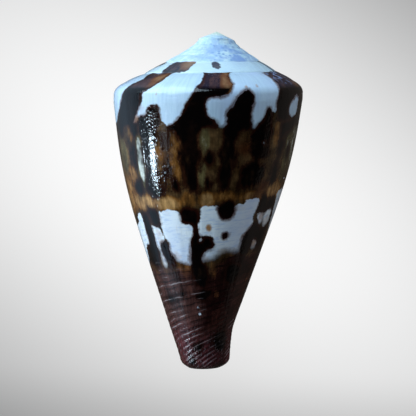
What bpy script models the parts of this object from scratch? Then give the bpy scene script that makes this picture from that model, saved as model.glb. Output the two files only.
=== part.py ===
"""Cone shell lying on its aperture side, modelled by its law of growth, in metres with +Z up.

Each turn of the shell is a scaled copy of the one before it. A place on the skin is given by how many turns back
from the lip it grew and by a step along the profile, from the front end over the shoulder to the seam.
"""

import math

import bmesh
import bpy
import numpy as np
from mathutils import Matrix, Vector

# Size of the last turn
LENGTH = 0.060
SHOULDER_RADIUS = 0.0198
SHOULDER_DEPTH = 0.0108
WHORL_RATIO = 1.35
DEPTH_LAG = 0.92
TURNS = 5.5

# Front end
END_RADIUS = 0.0041
END_RADIUS_COLUMELLA = 0.0029
END_ROUNDING = 0.0016
END_TAPER = 0.78
END_BLEND = 0.0012
END_SHORTENING = 0.0012

# Sides: radius, as a share of the shoulder's, at shares of the way to the front end
SIDE_PLACES = (0.0, 0.06, 0.14, 0.25, 0.40, 0.55, 0.70, 0.82, 0.91, 1.0)
SIDE_RADII = (0.945, 0.920, 0.885, 0.818, 0.713, 0.557, 0.381, 0.245, 0.142, 0.012)
SIDE_DEGREE = 5
SHOULDER_ROUNDING = 0.0028
SHOULDER_TUCK = 0.0009
SIDE_END_SLOPE = 1.2

# Shoulder, ramp and seam
STEP_DEPTH = 0.00045
SEAM_WALL = 0.0007
RAMP_BULGE = 0.0005

# Aperture
CAVITY_TURNS = 0.145
WALL = 0.0011
WALL_FRONT = 0.0007
LIP_WALL_SHARE = 0.6
LIP_THINNING_TURNS = 0.12
LIP_ROUNDING = 0.0003
NOTCH_TURNS = 0.016
LIP_SLANT_TURNS = 0.044
LIP_SLANT_SHARE = 0.62
LIP_FADE_TURNS = 0.25

# Spiral ridges round the front end
RIDGE_START = 0.0440
RIDGE_FADE = 0.0040
RIDGE_HEIGHT = 0.00022
RIDGE_PITCH = 0.0020
RIDGE_PITCH_END = 0.0011
RIDGE_CLIMB = 0.28
RIDGE_CLIMB_END = 0.50

# Rest pose
LIP_ANGLE = 229.7
AXIS_RISE = 13.9

# Facets
COLUMNS = 56
SIDE_ROWS = 38
RIDGED_ROWS = 26
RAMP_ROWS = 2

side_curve = np.polynomial.Polynomial.fit(SIDE_PLACES, SIDE_RADII, SIDE_DEGREE)
side_top = SIDE_ROWS
foot_row = SIDE_ROWS + RAMP_ROWS
cavity_columns = round(CAVITY_TURNS * COLUMNS)
last_column = round(TURNS * COLUMNS)


def ridge(turns, depth):
    """How far the spiral ridges lift the skin."""
    if depth < RIDGE_START:
        return 0.0
    along = (depth - RIDGE_START) / (LENGTH - RIDGE_START)
    climb = RIDGE_CLIMB + (RIDGE_CLIMB_END - RIDGE_CLIMB) * along
    at_lip = depth * math.exp(climb * turns) - RIDGE_START
    pitch = RIDGE_PITCH + (RIDGE_PITCH_END - RIDGE_PITCH) * min(1.0, at_lip / (LENGTH - RIDGE_START))
    fade = min(1.0, (depth - RIDGE_START) / RIDGE_FADE)
    return RIDGE_HEIGHT * fade * 0.5 * (1.0 - math.cos(2.0 * math.pi * at_lip / pitch))


def side(turns, depth_below_shoulder):
    """Radius of the side, at a depth below its own shoulder."""
    shoulder = SHOULDER_RADIUS * WHORL_RATIO ** -turns
    top = SHOULDER_DEPTH * WHORL_RATIO ** (-DEPTH_LAG * turns)
    share_turns = min(1.0, max(0.0, turns))
    end_radius = END_RADIUS + (END_RADIUS_COLUMELLA - END_RADIUS) * share_turns**3
    taper_length = LENGTH * WHORL_RATIO ** (-END_TAPER * turns) - top
    share = depth_below_shoulder / taper_length
    width = (shoulder - end_radius) * (side_curve(min(1.0, share)) - SIDE_END_SLOPE * max(0.0, share - 1.0))
    radius = end_radius + 0.5 * (width + math.hypot(width, END_BLEND))
    tuck = max(0.0, 1.0 - depth_below_shoulder / (SHOULDER_ROUNDING * WHORL_RATIO ** -turns))
    return radius - SHOULDER_TUCK * WHORL_RATIO ** -turns * tuck * tuck


def skin(turns, row):
    """Radius and depth below the apex, for a row from the front end to the shoulder."""
    top = SHOULDER_DEPTH * WHORL_RATIO ** (-DEPTH_LAG * turns)
    end = LENGTH - END_SHORTENING * min(1.0, turns)
    below = side_top - row
    shrink = WHORL_RATIO ** -turns
    if below == 0:
        depth = top
    elif below == 1:
        depth = top + STEP_DEPTH * shrink
    elif below == 2:
        depth = top + (STEP_DEPTH + SEAM_WALL) * shrink
    else:
        upper = side_top - RIDGED_ROWS
        start = top + (STEP_DEPTH + SEAM_WALL) * shrink
        middle = RIDGE_START
        if below <= upper:
            share = (below - 2) / (upper - 2)
            depth = start + (middle - start) * share**1.25
        else:
            share = (below - upper) / (side_top - upper)
            depth = middle + (end - middle) * (1.0 - (1.0 - share) ** 1.15)
    radius = side(turns, depth - top) + ridge(turns, depth)
    rounding = max(0.0, (depth - (end - END_ROUNDING)) / END_ROUNDING)
    return radius - END_ROUNDING * 0.8 * rounding**2.5, depth


def chain(turns, row):
    """Radius and depth for a row that may go on past the shoulder, over the ramp to the seam."""
    if row <= side_top:
        return skin(turns, row)
    shoulder = Vector(skin(turns, side_top))
    foot = Vector(skin(turns + 1.0, side_top - 1))
    share = (row - side_top) / (foot_row - side_top)
    place = shoulder.lerp(foot, share)
    place.y -= RAMP_BULGE * WHORL_RATIO ** -turns * math.sin(math.pi * share)
    return place.x, place.y


def lip_shift(row):
    """The lip's outline, in turns that it lies behind a straight lip."""
    if row >= side_top:
        return NOTCH_TURNS * math.sin(math.pi * (foot_row - row + 0.4) / (foot_row - side_top + 0.8))
    share = min(1.0, (side_top - row) / (side_top * LIP_SLANT_SHARE))
    return NOTCH_TURNS * 0.5 + (LIP_SLANT_TURNS - NOTCH_TURNS * 0.5) * share * share * (3.0 - 2.0 * share)


def fading(turns):
    return max(0.0, 1.0 - turns / LIP_FADE_TURNS) ** 2


def place(turns, radius, depth):
    angle = math.radians(LIP_ANGLE - 360.0 * turns)
    return Vector((radius * math.cos(angle), LENGTH - depth, radius * math.sin(angle)))


def outer(column, row):
    turns = column / COLUMNS
    if column <= cavity_columns:
        turns += lip_shift(row) * fading(turns)
    if row == foot_row:
        return outer_wall(column + COLUMNS, side_top - 1)
    return place(turns, *chain(turns, row))


def outer_wall(column, row):
    turns = column / COLUMNS
    return place(turns, *skin(turns, row))


def inner(column, row):
    """The inside of the last turn's wall, which meets the turn before it under the seam."""
    if row == foot_row:
        return outer_wall(column + COLUMNS, side_top - 2)
    turns = column / COLUMNS
    turns += lip_shift(row) * fading(turns)
    here = Vector(chain(turns, row))
    ahead = Vector(chain(turns, min(row + 1, foot_row)))
    behind = Vector(chain(turns, max(row - 1, 0)))
    along = (ahead - behind).normalized()
    if row < side_top - 2:
        along = (Vector(chain(turns, min(row + 3, side_top - 2))) - Vector(chain(turns, max(row - 3, 0)))).normalized()
    inwards = Vector((along.y, -along.x))
    wall = WALL_FRONT + (WALL - WALL_FRONT) * min(1.0, row / side_top)
    thinning = min(1.0, turns / LIP_THINNING_TURNS)
    wall *= LIP_WALL_SHARE + (1.0 - LIP_WALL_SHARE) * thinning
    offset = here + inwards * wall
    return place(turns, offset.x, offset.y)


def rim(step, across):
    """The edge of the wall, along the front end and then up the lip to the seam."""
    if step < cavity_columns:
        column, row = cavity_columns - step, 0
    else:
        column, row = 0, step - cavity_columns
    outside = outer(column, row)
    inside = inner(column, row)
    if across == 0:
        return outside
    if across == 2:
        return inside
    forward = Vector((-math.sin(math.radians(LIP_ANGLE)), 0.0, math.cos(math.radians(LIP_ANGLE))))
    down = Vector((0.0, -1.0, 0.0))
    if column > 0:
        push = down
    elif row == 0:
        push = (down + forward).normalized()
    else:
        push = forward
    ends = step == 0 or row == foot_row
    return (outside + inside) / 2.0 + push * (0.0 if ends else LIP_ROUNDING)


def sheet(mesh, columns, rows, where):
    """A grid whose vertices are moved to where(column, row)."""
    made = bmesh.ops.create_grid(mesh, x_segments=columns, y_segments=rows, size=1.0)["verts"]
    for vert in made:
        column = round((vert.co.x + 1.0) / 2.0 * columns)
        row = round((vert.co.y + 1.0) / 2.0 * rows)
        vert.co = where(column, row)


def make_shell():
    mesh = bmesh.new()
    # Side of the last turn, then the ramp of every turn and the narrow step above each seam
    sheet(mesh, COLUMNS, side_top, outer)
    ramp_columns = last_column - COLUMNS
    sheet(mesh, ramp_columns, RAMP_ROWS, lambda column, row: outer(column, side_top + row))
    sheet(mesh, ramp_columns, 1, lambda column, row: outer_wall(COLUMNS + column, side_top - 1 + row))
    # Walls of the aperture, the edge of the lip and the cavity's closed inner end
    sheet(mesh, cavity_columns, side_top - 2, lambda column, row: outer_wall(COLUMNS + column, row))
    sheet(mesh, cavity_columns, foot_row, inner)
    sheet(mesh, cavity_columns + foot_row, 2, rim)
    inner_end = cavity_columns + COLUMNS
    sheet(
        mesh,
        1,
        side_top - 2,
        lambda column, row: outer_wall(inner_end, row) if column else inner(cavity_columns, row),
    )
    bmesh.ops.remove_doubles(mesh, verts=mesh.verts, dist=1e-6)
    # Ends: the worn apex and the front end of the columella
    open_edges = [edge for edge in mesh.edges if edge.is_boundary]
    caps = bmesh.ops.holes_fill(mesh, edges=open_edges, sides=0)["faces"]
    wide_caps = [face for face in caps if len(face.verts) > COLUMNS // 2]
    centres = bmesh.ops.poke(mesh, faces=wide_caps)["verts"]
    for vert in centres:
        if vert.co.y > LENGTH / 2.0:
            vert.co = (0.0, LENGTH, 0.0)
        else:
            vert.co.y = 0.0
    bmesh.ops.triangulate(mesh, faces=mesh.faces)
    bmesh.ops.recalc_face_normals(mesh, faces=mesh.faces)
    if mesh.calc_volume(signed=True) < 0.0:
        bmesh.ops.reverse_faces(mesh, faces=mesh.faces)
    return mesh


def lay_down(mesh):
    """Raise the spire's end until the side rests on the ground, and centre the shell over the origin."""
    bmesh.ops.transform(mesh, matrix=Matrix.Rotation(math.radians(AXIS_RISE), 4, "X"), verts=mesh.verts)
    points = np.array([vert.co for vert in mesh.verts])
    low = points.min(axis=0)
    high = points.max(axis=0)
    shift = Vector((-(low[0] + high[0]) / 2.0, -(low[1] + high[1]) / 2.0, -low[2]))
    bmesh.ops.translate(mesh, vec=shift, verts=mesh.verts)


def glossy(name, colour, roughness):
    material = bpy.data.materials.new(name)
    material.use_nodes = True
    shader = material.node_tree.nodes["Principled BSDF"]
    shader.inputs["Base Color"].default_value = (*colour, 1.0)
    shader.inputs["Roughness"].default_value = roughness
    shader.inputs["Metallic"].default_value = 0.0
    return material


for old in list(bpy.data.objects):
    bpy.data.objects.remove(old, do_unlink=True)

grown = make_shell()
lay_down(grown)
shape = bpy.data.meshes.new("cone_shell")
grown.to_mesh(shape)
grown.free()
shell = bpy.data.objects.new("cone_shell", shape)
bpy.context.scene.collection.objects.link(shell)
shape.materials.append(glossy("shell_polish", (0.20, 0.13, 0.08), 0.25))
shape.shade_smooth()
shape.set_sharp_from_angle(angle=math.radians(45.0))
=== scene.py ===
import math

import bmesh
import bpy
import numpy as np
from mathutils import Matrix, Vector, noise


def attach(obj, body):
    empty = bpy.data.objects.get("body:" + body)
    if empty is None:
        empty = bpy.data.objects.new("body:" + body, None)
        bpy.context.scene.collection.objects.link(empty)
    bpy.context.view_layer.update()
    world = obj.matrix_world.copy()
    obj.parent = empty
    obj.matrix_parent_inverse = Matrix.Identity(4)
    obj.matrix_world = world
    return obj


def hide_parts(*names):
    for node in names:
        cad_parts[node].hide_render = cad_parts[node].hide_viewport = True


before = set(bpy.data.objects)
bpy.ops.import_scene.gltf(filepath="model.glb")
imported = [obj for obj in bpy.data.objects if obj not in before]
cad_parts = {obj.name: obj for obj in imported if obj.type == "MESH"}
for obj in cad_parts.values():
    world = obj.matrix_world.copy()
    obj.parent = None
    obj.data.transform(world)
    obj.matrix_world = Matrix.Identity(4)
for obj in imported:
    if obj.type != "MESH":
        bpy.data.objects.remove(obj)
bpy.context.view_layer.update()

# Shell wall: aragonite, which the animal lays down at its lip as it grows.
# Every turn is a larger copy of the one before, wound over its shoulder, and the whole wall is one piece.
# Sizes are in millimetres: depth runs along the axis below the apex, and turns are counted back from the lip.

# Size of the last turn, and how fast the older ones shrink
LENGTH = 60.0
SHOULDER_RADIUS = 19.8
SHOULDER_DEPTH = 10.8
WHORL_RATIO = 1.35
DEPTH_LAG = 0.92
TURNS = 7.5
SPIRE_QUICKENING = 0.20
EARLY_TURNS = 0.9
EARLY_EASE = 0.3
EARLY_GAIN = 0.08

# Front end
END_RADIUS = 4.1
END_RADIUS_COLUMELLA = 2.9
END_ROUNDING = 1.6
END_TAPER = 0.78
END_BLEND = 1.2
END_SHORTENING = 1.2

# Sides: radius, as a share of the shoulder's, at shares of the way to the front end
SIDE_PLACES = (0.0, 0.06, 0.14, 0.25, 0.40, 0.55, 0.70, 0.82, 0.91, 1.0)
SIDE_RADII = (0.945, 0.920, 0.885, 0.818, 0.713, 0.557, 0.381, 0.245, 0.142, 0.012)
SIDE_DEGREE = 5
SIDE_END_SLOPE = 1.2

# Shoulder, ramp and seam
SHOULDER_ROUNDING = 2.8
SHOULDER_TUCK = 0.9
TUCK_LEFT_ON_CORNER = 0.15
CORNER = 1.7
CORNER_SPIRE = 0.10
STEP_DEPTH = 0.12
STEP_WAVER = 0.055
SEAM_WALL = 0.7
RAMP_BULGE = 0.34
RAMP_BULGE_SPIRE = 0.14
RAMP_SPAN = 5.5

# Opening
CAVITY_TURNS = 0.15
WALL = 1.1
WALL_FRONT = 0.7
LIP_WALL_SHARE = 0.6
LIP_THINNING_TURNS = 0.12
LIP_ROUNDING = 0.3
NOTCH_TURNS = 0.016
LIP_SLANT_TURNS = 0.044
LIP_SLANT_DEPTHS = (10.8, 16.0, 25.0, 36.0, 44.0, 52.0)
LIP_SLANT_SHARES = (0.0, 0.17, 0.30, 0.42, 0.51, 1.0)
LIP_FADE_TURNS = 0.25
# The lip's edge and the closed inner end carry no markings, so one depth on their chart serves them all
LINING_DEPTH = 30.0

# How it lies: degrees round from the right to the lip, and the climb of the axis towards the spire
LIP_ANGLE = 229.7
AXIS_RISE = 13.9

# Fineness of the mesh: columns in a turn, and rows up the profile, closer together towards the front end
COLUMNS = 280
UPPER_ROWS = 76
CORD_ROWS = 112
CORNER_ROWS = 6
RAMP_ROWS = 5
FRONT_CROWDING = 1.12
SIDE_CROWDING = 1.15
CORD_START = 41.0

side_curve = np.polynomial.Polynomial.fit(SIDE_PLACES, SIDE_RADII, SIDE_DEGREE)
cavity_columns = round(CAVITY_TURNS * COLUMNS)
last_column = round(TURNS * COLUMNS)
side_rows = UPPER_ROWS + CORD_ROWS


def age(turns):
    """Turns as the size law counts them: the early turns grew a little faster than the last one."""
    early = np.maximum(0.0, turns - EARLY_TURNS)
    return turns + SPIRE_QUICKENING * (1.0 - np.exp(-early / EARLY_EASE)) + EARLY_GAIN * early


def shoulder_depth(turns):
    """How far a turn's shoulder lies below the apex."""
    return SHOULDER_DEPTH * WHORL_RATIO ** (-DEPTH_LAG * age(turns))


def step_height(turns):
    """Drop from a turn's shoulder to its seam, which wavers as the lip did when it was laid on."""
    wavering = 2.0 + np.sin(2.0 * math.pi * (13.7 * turns + 0.3)) + 0.7 * np.sin(2.0 * math.pi * 29.3 * turns)
    return (STEP_DEPTH + STEP_WAVER * wavering) * WHORL_RATIO**-turns


def side_radius(turns, depth, tuck_share=1.0):
    """Radius of the smooth side."""
    shrink = WHORL_RATIO ** -age(turns)
    below = depth - shoulder_depth(turns)
    first_turn = np.clip(turns, 0.0, 1.0)
    end_radius = END_RADIUS + (END_RADIUS_COLUMELLA - END_RADIUS) * first_turn**3
    taper_length = LENGTH * WHORL_RATIO ** (-END_TAPER * turns) - shoulder_depth(turns)
    share = below / taper_length
    narrowing = side_curve(np.minimum(1.0, share)) - SIDE_END_SLOPE * np.maximum(0.0, share - 1.0)
    width = (SHOULDER_RADIUS * shrink - end_radius) * narrowing
    radius = end_radius + 0.5 * (width + np.hypot(width, END_BLEND))
    tuck = np.maximum(0.0, 1.0 - below / (SHOULDER_ROUNDING * shrink))
    end = LENGTH - END_SHORTENING * first_turn
    rounding = np.maximum(0.0, (depth - (end - END_ROUNDING)) / END_ROUNDING)
    return radius - tuck_share * SHOULDER_TUCK * shrink * tuck * tuck - END_ROUNDING * 0.8 * rounding**2.5


# Cords are the spiral threads that the mantle lays round the front end, with a groove between each two.
# They climb towards the shoulder as the turn is followed back from the lip.
CORD_HEIGHT = 0.075
CORD_HEIGHT_END = 0.21
CORD_FADE = 5.0
CORD_PITCH = 1.25
CORD_PITCH_END = 0.80
CORD_CLIMB = 0.27
CORD_CLIMB_END = 0.36
CORDS_MEASURED_AT = 0.35
FAINT_CORD_HEIGHT = 0.004
FAINT_CORD_PITCH = 1.15
DEEPER_CORDS_FROM = 49.0
DEEPER_CORDS_OVER = 7.0

# Growth folds run along the lip's direction: share of the height, folds in a turn, slant and start
GROWTH_FOLD_HEIGHT = 0.030
GROWTH_FOLDS = ((1.0, 21.0, 0.020, 0.0), (0.7, 34.0, -0.013, 1.0), (0.5, 57.0, 0.031, 2.2))


def cord_phase(turns, depth):
    """Which cord a place is on, counted from where the cords start on the back."""
    along = np.clip((depth - CORD_START) / (LENGTH - CORD_START), 0.0, 1.0)
    climb = CORD_CLIMB + (CORD_CLIMB_END - CORD_CLIMB) * along
    on_back = depth * np.exp(climb * (turns - CORDS_MEASURED_AT))
    below = on_back - CORD_START
    tighter = (CORD_PITCH_END - CORD_PITCH) / (LENGTH - CORD_START)
    pitch_here = np.maximum(CORD_PITCH_END, CORD_PITCH + 0.5 * tighter * below)
    return below / pitch_here


def relief(turns, depth):
    """How far cords and growth folds lift the skin of the side."""
    phase = cord_phase(turns, depth)
    crest = np.abs(np.cos(math.pi * phase)) ** 0.55
    sway = 0.65 + 0.35 * np.sin(2.3 * phase + 31.0 * turns) * np.cos(1.1 * phase - 17.0 * turns)
    fade = np.clip((depth - CORD_START) / CORD_FADE, 0.0, 1.0) ** 1.3
    near_end = np.clip((depth - DEEPER_CORDS_FROM) / DEEPER_CORDS_OVER, 0.0, 1.0)
    height = CORD_HEIGHT + (CORD_HEIGHT_END - CORD_HEIGHT) * near_end
    cords = height * fade * (crest - 0.7) * sway
    climbed = depth * np.exp(CORD_CLIMB * turns)
    faint = FAINT_CORD_HEIGHT * np.cos(2.0 * math.pi * climbed / FAINT_CORD_PITCH)
    folds = sum(
        share * np.sin(2.0 * math.pi * (count * turns + slant * depth) + start)
        for share, count, slant, start in GROWTH_FOLDS
    )
    calm = np.clip((depth - shoulder_depth(turns) - 0.6) / 2.0, 0.0, 1.0)
    ends = np.clip((LENGTH - depth) / 2.0, 0.0, 1.0)
    return (cords + faint * calm + GROWTH_FOLD_HEIGHT * folds * calm * 0.45) * ends


def skin(turns, depth):
    """Radius of the side with its relief."""
    return side_radius(turns, depth) + relief(turns, depth)


def corner_size(turns):
    """How far from the shoulder's edge its rounding starts."""
    blend = np.clip((turns - 0.7) / 0.25, 0.0, 1.0)
    blend = blend * blend * (3.0 - 2.0 * blend)
    return (CORNER + (CORNER_SPIRE - CORNER) * blend) * WHORL_RATIO**-turns


def ramp(turns, share):
    """Radius and depth on the ramp, from the shoulder, share 0, to the seam with the turn before, share 1."""
    shrink = WHORL_RATIO**-turns
    edge_depth = shoulder_depth(turns)
    edge_radius = side_radius(turns, edge_depth)
    foot_depth = shoulder_depth(turns + 1.0) + step_height(turns + 1.0)
    foot_radius = skin(turns + 1.0, foot_depth)
    radius = edge_radius + (foot_radius - edge_radius) * share
    depth = edge_depth + (foot_depth - edge_depth) * share
    bulge = RAMP_BULGE + (RAMP_BULGE_SPIRE - RAMP_BULGE) * np.clip((turns - 0.6) / 0.4, 0.0, 1.0)
    return radius, depth - bulge * shrink * np.sin(math.pi * share)


def profile(turns, row):
    """Radius and depth for rows that go up the side, round the shoulder and over the ramp."""
    turns, row = np.broadcast_arrays(turns, row)
    corner = corner_size(turns)
    top = shoulder_depth(turns) + corner
    end = LENGTH - END_SHORTENING * np.clip(turns, 0.0, 1.0)
    shrink = WHORL_RATIO**-turns
    up = np.clip(row / CORD_ROWS, 0.0, 1.0)
    below = side_rows - row
    start = top + step_height(turns) + (SEAM_WALL - CORNER_SPIRE) * shrink
    down = np.clip((below - 2) / (UPPER_ROWS - 2), 0.0, 1.0)
    front_depth = end + (CORD_START - end) * up**FRONT_CROWDING
    upper_depth = start + (CORD_START - start) * down**SIDE_CROWDING
    depth = np.where(row < CORD_ROWS, front_depth, upper_depth)
    depth = np.where(below == 1, top + step_height(turns) - CORNER_SPIRE * shrink, depth)
    depth = np.where(below <= 0, top, depth)
    radius = skin(turns, depth)
    # Rounded shoulder
    edge_depth = shoulder_depth(turns)
    edge_radius = side_radius(turns, edge_depth)
    full_radius = side_radius(turns, edge_depth, np.where(turns < 1.0, TUCK_LEFT_ON_CORNER, 1.0))
    foot_depth = shoulder_depth(turns + 1.0)
    width = np.hypot(edge_radius - side_radius(turns + 1.0, foot_depth), edge_depth - foot_depth)
    inset = corner / width
    inset_radius, inset_depth = ramp(turns, inset)
    turn = np.clip((row - side_rows) / CORNER_ROWS, 0.0, 1.0)
    first, middle, last = (1.0 - turn) ** 2, 2.0 * turn * (1.0 - turn), turn**2
    corner_radius = first * skin(turns, top) + middle * full_radius + last * inset_radius
    corner_depth = first * top + middle * edge_depth + last * inset_depth
    # Ramp
    on_ramp = np.clip((row - side_rows - CORNER_ROWS) / RAMP_ROWS, 0.0, 1.0)
    share = inset + (1.0 - inset) * on_ramp
    ramp_radius, ramp_depth = ramp(turns, share)
    radius = np.where(row > side_rows, corner_radius, radius)
    depth = np.where(row > side_rows, corner_depth, depth)
    beyond = row > side_rows + CORNER_ROWS
    radius = np.where(beyond, ramp_radius, radius)
    depth = np.where(beyond, ramp_depth, depth)
    # Place on the chart of the markings: the ramp carries on above the shoulder
    share_here = np.where(beyond, share, inset * turn)
    climbed = edge_depth + (1.0 - turn) * corner - share_here * RAMP_SPAN * WHORL_RATIO**-turns
    chart = np.where(row > side_rows, climbed, depth)
    return radius, depth, chart


foot_row = side_rows + CORNER_ROWS + RAMP_ROWS
rise = Matrix.Rotation(math.radians(AXIS_RISE), 3, "X")
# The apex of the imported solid, in metres
apex_place = Vector((0.00124, 0.02929, 0.01735))
lift = np.array(apex_place - rise @ Vector((0.0, LENGTH * 1e-3, 0.0)))
turned = np.array(rise)


def placed(turns, radius, depth):
    """World places, in metres, of the shell lying on its opening with the spire raised."""
    angle = np.radians(LIP_ANGLE - 360.0 * turns)
    grown = np.stack([radius * np.cos(angle), LENGTH - depth, radius * np.sin(angle)], axis=-1)
    return grown * 1e-3 @ turned.T + lift


def lip_shift(turns, depth, row):
    """The lip isn't straight: it has a shallow notch on the ramp and leans back towards the front end."""
    slant = np.interp(depth, LIP_SLANT_DEPTHS, LIP_SLANT_SHARES)
    slant = slant * slant * (3.0 - 2.0 * slant)
    on_side = NOTCH_TURNS * 0.5 + (LIP_SLANT_TURNS - NOTCH_TURNS * 0.5) * slant
    over = np.clip((row - side_rows) / (foot_row - side_rows), 0.0, 1.0)
    on_ramp = NOTCH_TURNS * np.sin(math.pi * (1.0 - over + 0.1) / 1.2)
    shift = np.where(row > side_rows, on_ramp, on_side)
    return shift * np.maximum(0.0, 1.0 - turns / LIP_FADE_TURNS) ** 2


def outer_sheet(columns, rows):
    """Places, turns and chart depths of the outside for a grid of columns and rows."""
    straight = (np.arange(columns[0], columns[1] + 1) / COLUMNS)[:, None]
    row = np.arange(rows[0], rows[1] + 1)[None, :]
    radius, depth, chart = profile(straight, row)
    turns = straight + lip_shift(straight, depth, row)
    radius, depth, chart = profile(turns, row)
    seam_turns = np.broadcast_to(straight + 1.0, turns.shape)
    seam_depth = shoulder_depth(seam_turns) + step_height(seam_turns)
    on_seam = np.broadcast_to(row == foot_row, turns.shape)
    seam_places = placed(seam_turns, skin(seam_turns, seam_depth), seam_depth)
    places = np.where(on_seam[..., None], seam_places, placed(turns, radius, depth))
    return places, turns, chart


# Erosion: the tip of the spire is worn, with small chalky pits, from rubbing on sand and rock.
# The reach is in metres, and the lumps and grains are 1.1 and 0.4 mm across.
WEAR_DEPTH = 0.09
WEAR_REACH = 0.0175
WEAR_FADE = 15.0
WEAR_LUMPS = 900.0
WEAR_GRAINS = 2300.0


def worn(places):
    """Rubs shallow pits into the skin near the apex."""
    apex = np.array(apex_place)
    flat_places = places.reshape(-1, 3)
    near = np.linalg.norm(flat_places - apex, axis=1) < WEAR_REACH
    for index in np.flatnonzero(near):
        place = flat_places[index]
        gap = (place - apex) * 1000.0
        amount = min(1.0, max(0.0, 1.25 - np.linalg.norm(gap) / WEAR_FADE))
        rough = noise.fractal(Vector(place * WEAR_LUMPS), 1.0, 2.1, 4)
        fine = noise.noise(Vector(place * WEAR_GRAINS))
        inwards = np.array([-gap[0] * 0.4, -9.0, -gap[2] * 0.4 - 3.0])
        inwards /= np.linalg.norm(inwards)
        flat_places[index] = place + inwards * 1e-3 * WEAR_DEPTH * amount * (0.5 + 0.7 * rough + 0.35 * fine)
    return flat_places.reshape(places.shape)


def add_sheet(mesh, layers, places, turns, chart, inside):
    """A grid of faces whose vertices go to the given places and keep how they were grown."""
    columns, rows = places.shape[0] - 1, places.shape[1] - 1
    made = bmesh.ops.create_grid(mesh, x_segments=columns, y_segments=rows, size=1.0)["verts"]
    for vert in made:
        column = round((vert.co.x + 1.0) / 2.0 * columns)
        row = round((vert.co.y + 1.0) / 2.0 * rows)
        vert.co = places[column, row]
        vert[layers[0]] = turns[column, row]
        vert[layers[1]] = chart[column, row]
        vert[layers[2]] = inside


def wall_inside(straight, row):
    """The inside of the last turn's wall."""
    radius, depth, chart = profile(straight, row)
    turns = straight + lip_shift(straight, depth, row)
    radius, depth, chart = profile(turns, row)
    smooth_radius = np.where(row <= side_rows, side_radius(turns, depth), radius)
    along_radius = np.gradient(smooth_radius, axis=1)
    along_depth = np.gradient(depth, axis=1)
    length = np.hypot(along_radius, along_depth)
    along_radius, along_depth = along_radius / length, along_depth / length
    wall = WALL_FRONT + (WALL - WALL_FRONT) * np.clip((LENGTH - depth) / 40.0, 0.0, 1.0)
    thinning = np.clip(turns / LIP_THINNING_TURNS, 0.0, 1.0)
    wall = wall * (LIP_WALL_SHARE + (1.0 - LIP_WALL_SHARE) * thinning)
    wall_radius = smooth_radius + along_depth * wall
    wall_depth = depth - along_radius * wall
    return turns, wall_radius, wall_depth


grown = bmesh.new()
layers = [grown.verts.layers.float.new(name) for name in ("turns", "chart", "inside")]
ramp_last = last_column - COLUMNS

places, turns, chart = outer_sheet((0, COLUMNS), (0, side_rows))
add_sheet(grown, layers, places, turns, chart, 0.0)
outside = places

places, turns, chart = outer_sheet((0, ramp_last), (side_rows, foot_row))
outside_ramp = places.copy()
seam_ring = places[:, -1].copy()
worn_places = worn(places.copy())
add_sheet(grown, layers, worn_places, turns, chart, 0.0)

# Narrow step of each turn above the seam
step_turns = (np.arange(COLUMNS, last_column + 1) / COLUMNS)[:, None]
step_turns = np.broadcast_to(step_turns, (step_turns.shape[0], 2))
step_below = np.where([[True, False]], step_height(step_turns), CORNER_SPIRE * WHORL_RATIO**-step_turns)
step_depth = shoulder_depth(step_turns) + step_below
step_places = placed(step_turns, skin(step_turns, step_depth), step_depth)
step_places = worn(step_places)
add_sheet(grown, layers, step_places, step_turns, step_depth, 0.0)

# Opening: the columella side, the inside of the wall, the closed inner end, and the rounded edge of the lip
inner_top = side_rows - 2
turns = (np.arange(COLUMNS, COLUMNS + cavity_columns + 1) / COLUMNS)[:, None]
radius, depth, chart = profile(turns, np.arange(0, inner_top + 1)[None, :])
turns = np.broadcast_to(turns, depth.shape)
columella = placed(turns, radius, depth)
add_sheet(grown, layers, columella, turns, depth, 1.0)

straight = (np.arange(0, cavity_columns + 1) / COLUMNS)[:, None]
row = np.arange(0, foot_row + 1)[None, :]
turns, radius, depth = wall_inside(straight, row)
inner_places = placed(turns, radius, depth)
inner_places[:, -1] = columella[:, -1]
add_sheet(grown, layers, inner_places, turns, depth, 1.0)

inner_end = np.stack([inner_places[-1, : inner_top + 1], columella[-1]], axis=0)
end_turns = np.full(inner_end.shape[:2], CAVITY_TURNS)
add_sheet(grown, layers, inner_end, end_turns, np.full(inner_end.shape[:2], LINING_DEPTH), 1.0)

lip_outside = np.concatenate([outside[cavity_columns:0:-1, 0], outside[0], outside_ramp[0, 1:]])
lip_inside = np.concatenate([inner_places[cavity_columns:0:-1, 0], inner_places[0]])
lip_outside[-1] = seam_ring[0]
steps = len(lip_outside)
forward = turned @ np.array([-math.sin(math.radians(LIP_ANGLE)), 0.0, math.cos(math.radians(LIP_ANGLE))])
down = turned @ np.array([0.0, -1.0, 0.0])
push = np.where((np.arange(steps) < cavity_columns)[:, None], down, forward)
push[0] = 0.0
push[-1] = 0.0
rim = [lip_outside]
for across in (0.2, 0.5, 0.8):
    swell = LIP_ROUNDING * 1e-3 * math.sin(math.pi * across) ** 0.6
    rim.append(lip_outside * (1.0 - across) + lip_inside * across + push * swell)
rim.append(lip_inside)
rim = np.stack(rim, axis=1)
rim[-1, 1:3] = lip_outside[-1]
rim[-1, 3] = lip_inside[-1]
add_sheet(grown, layers, rim, np.zeros(rim.shape[:2]), np.full(rim.shape[:2], LINING_DEPTH), 1.0)

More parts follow.
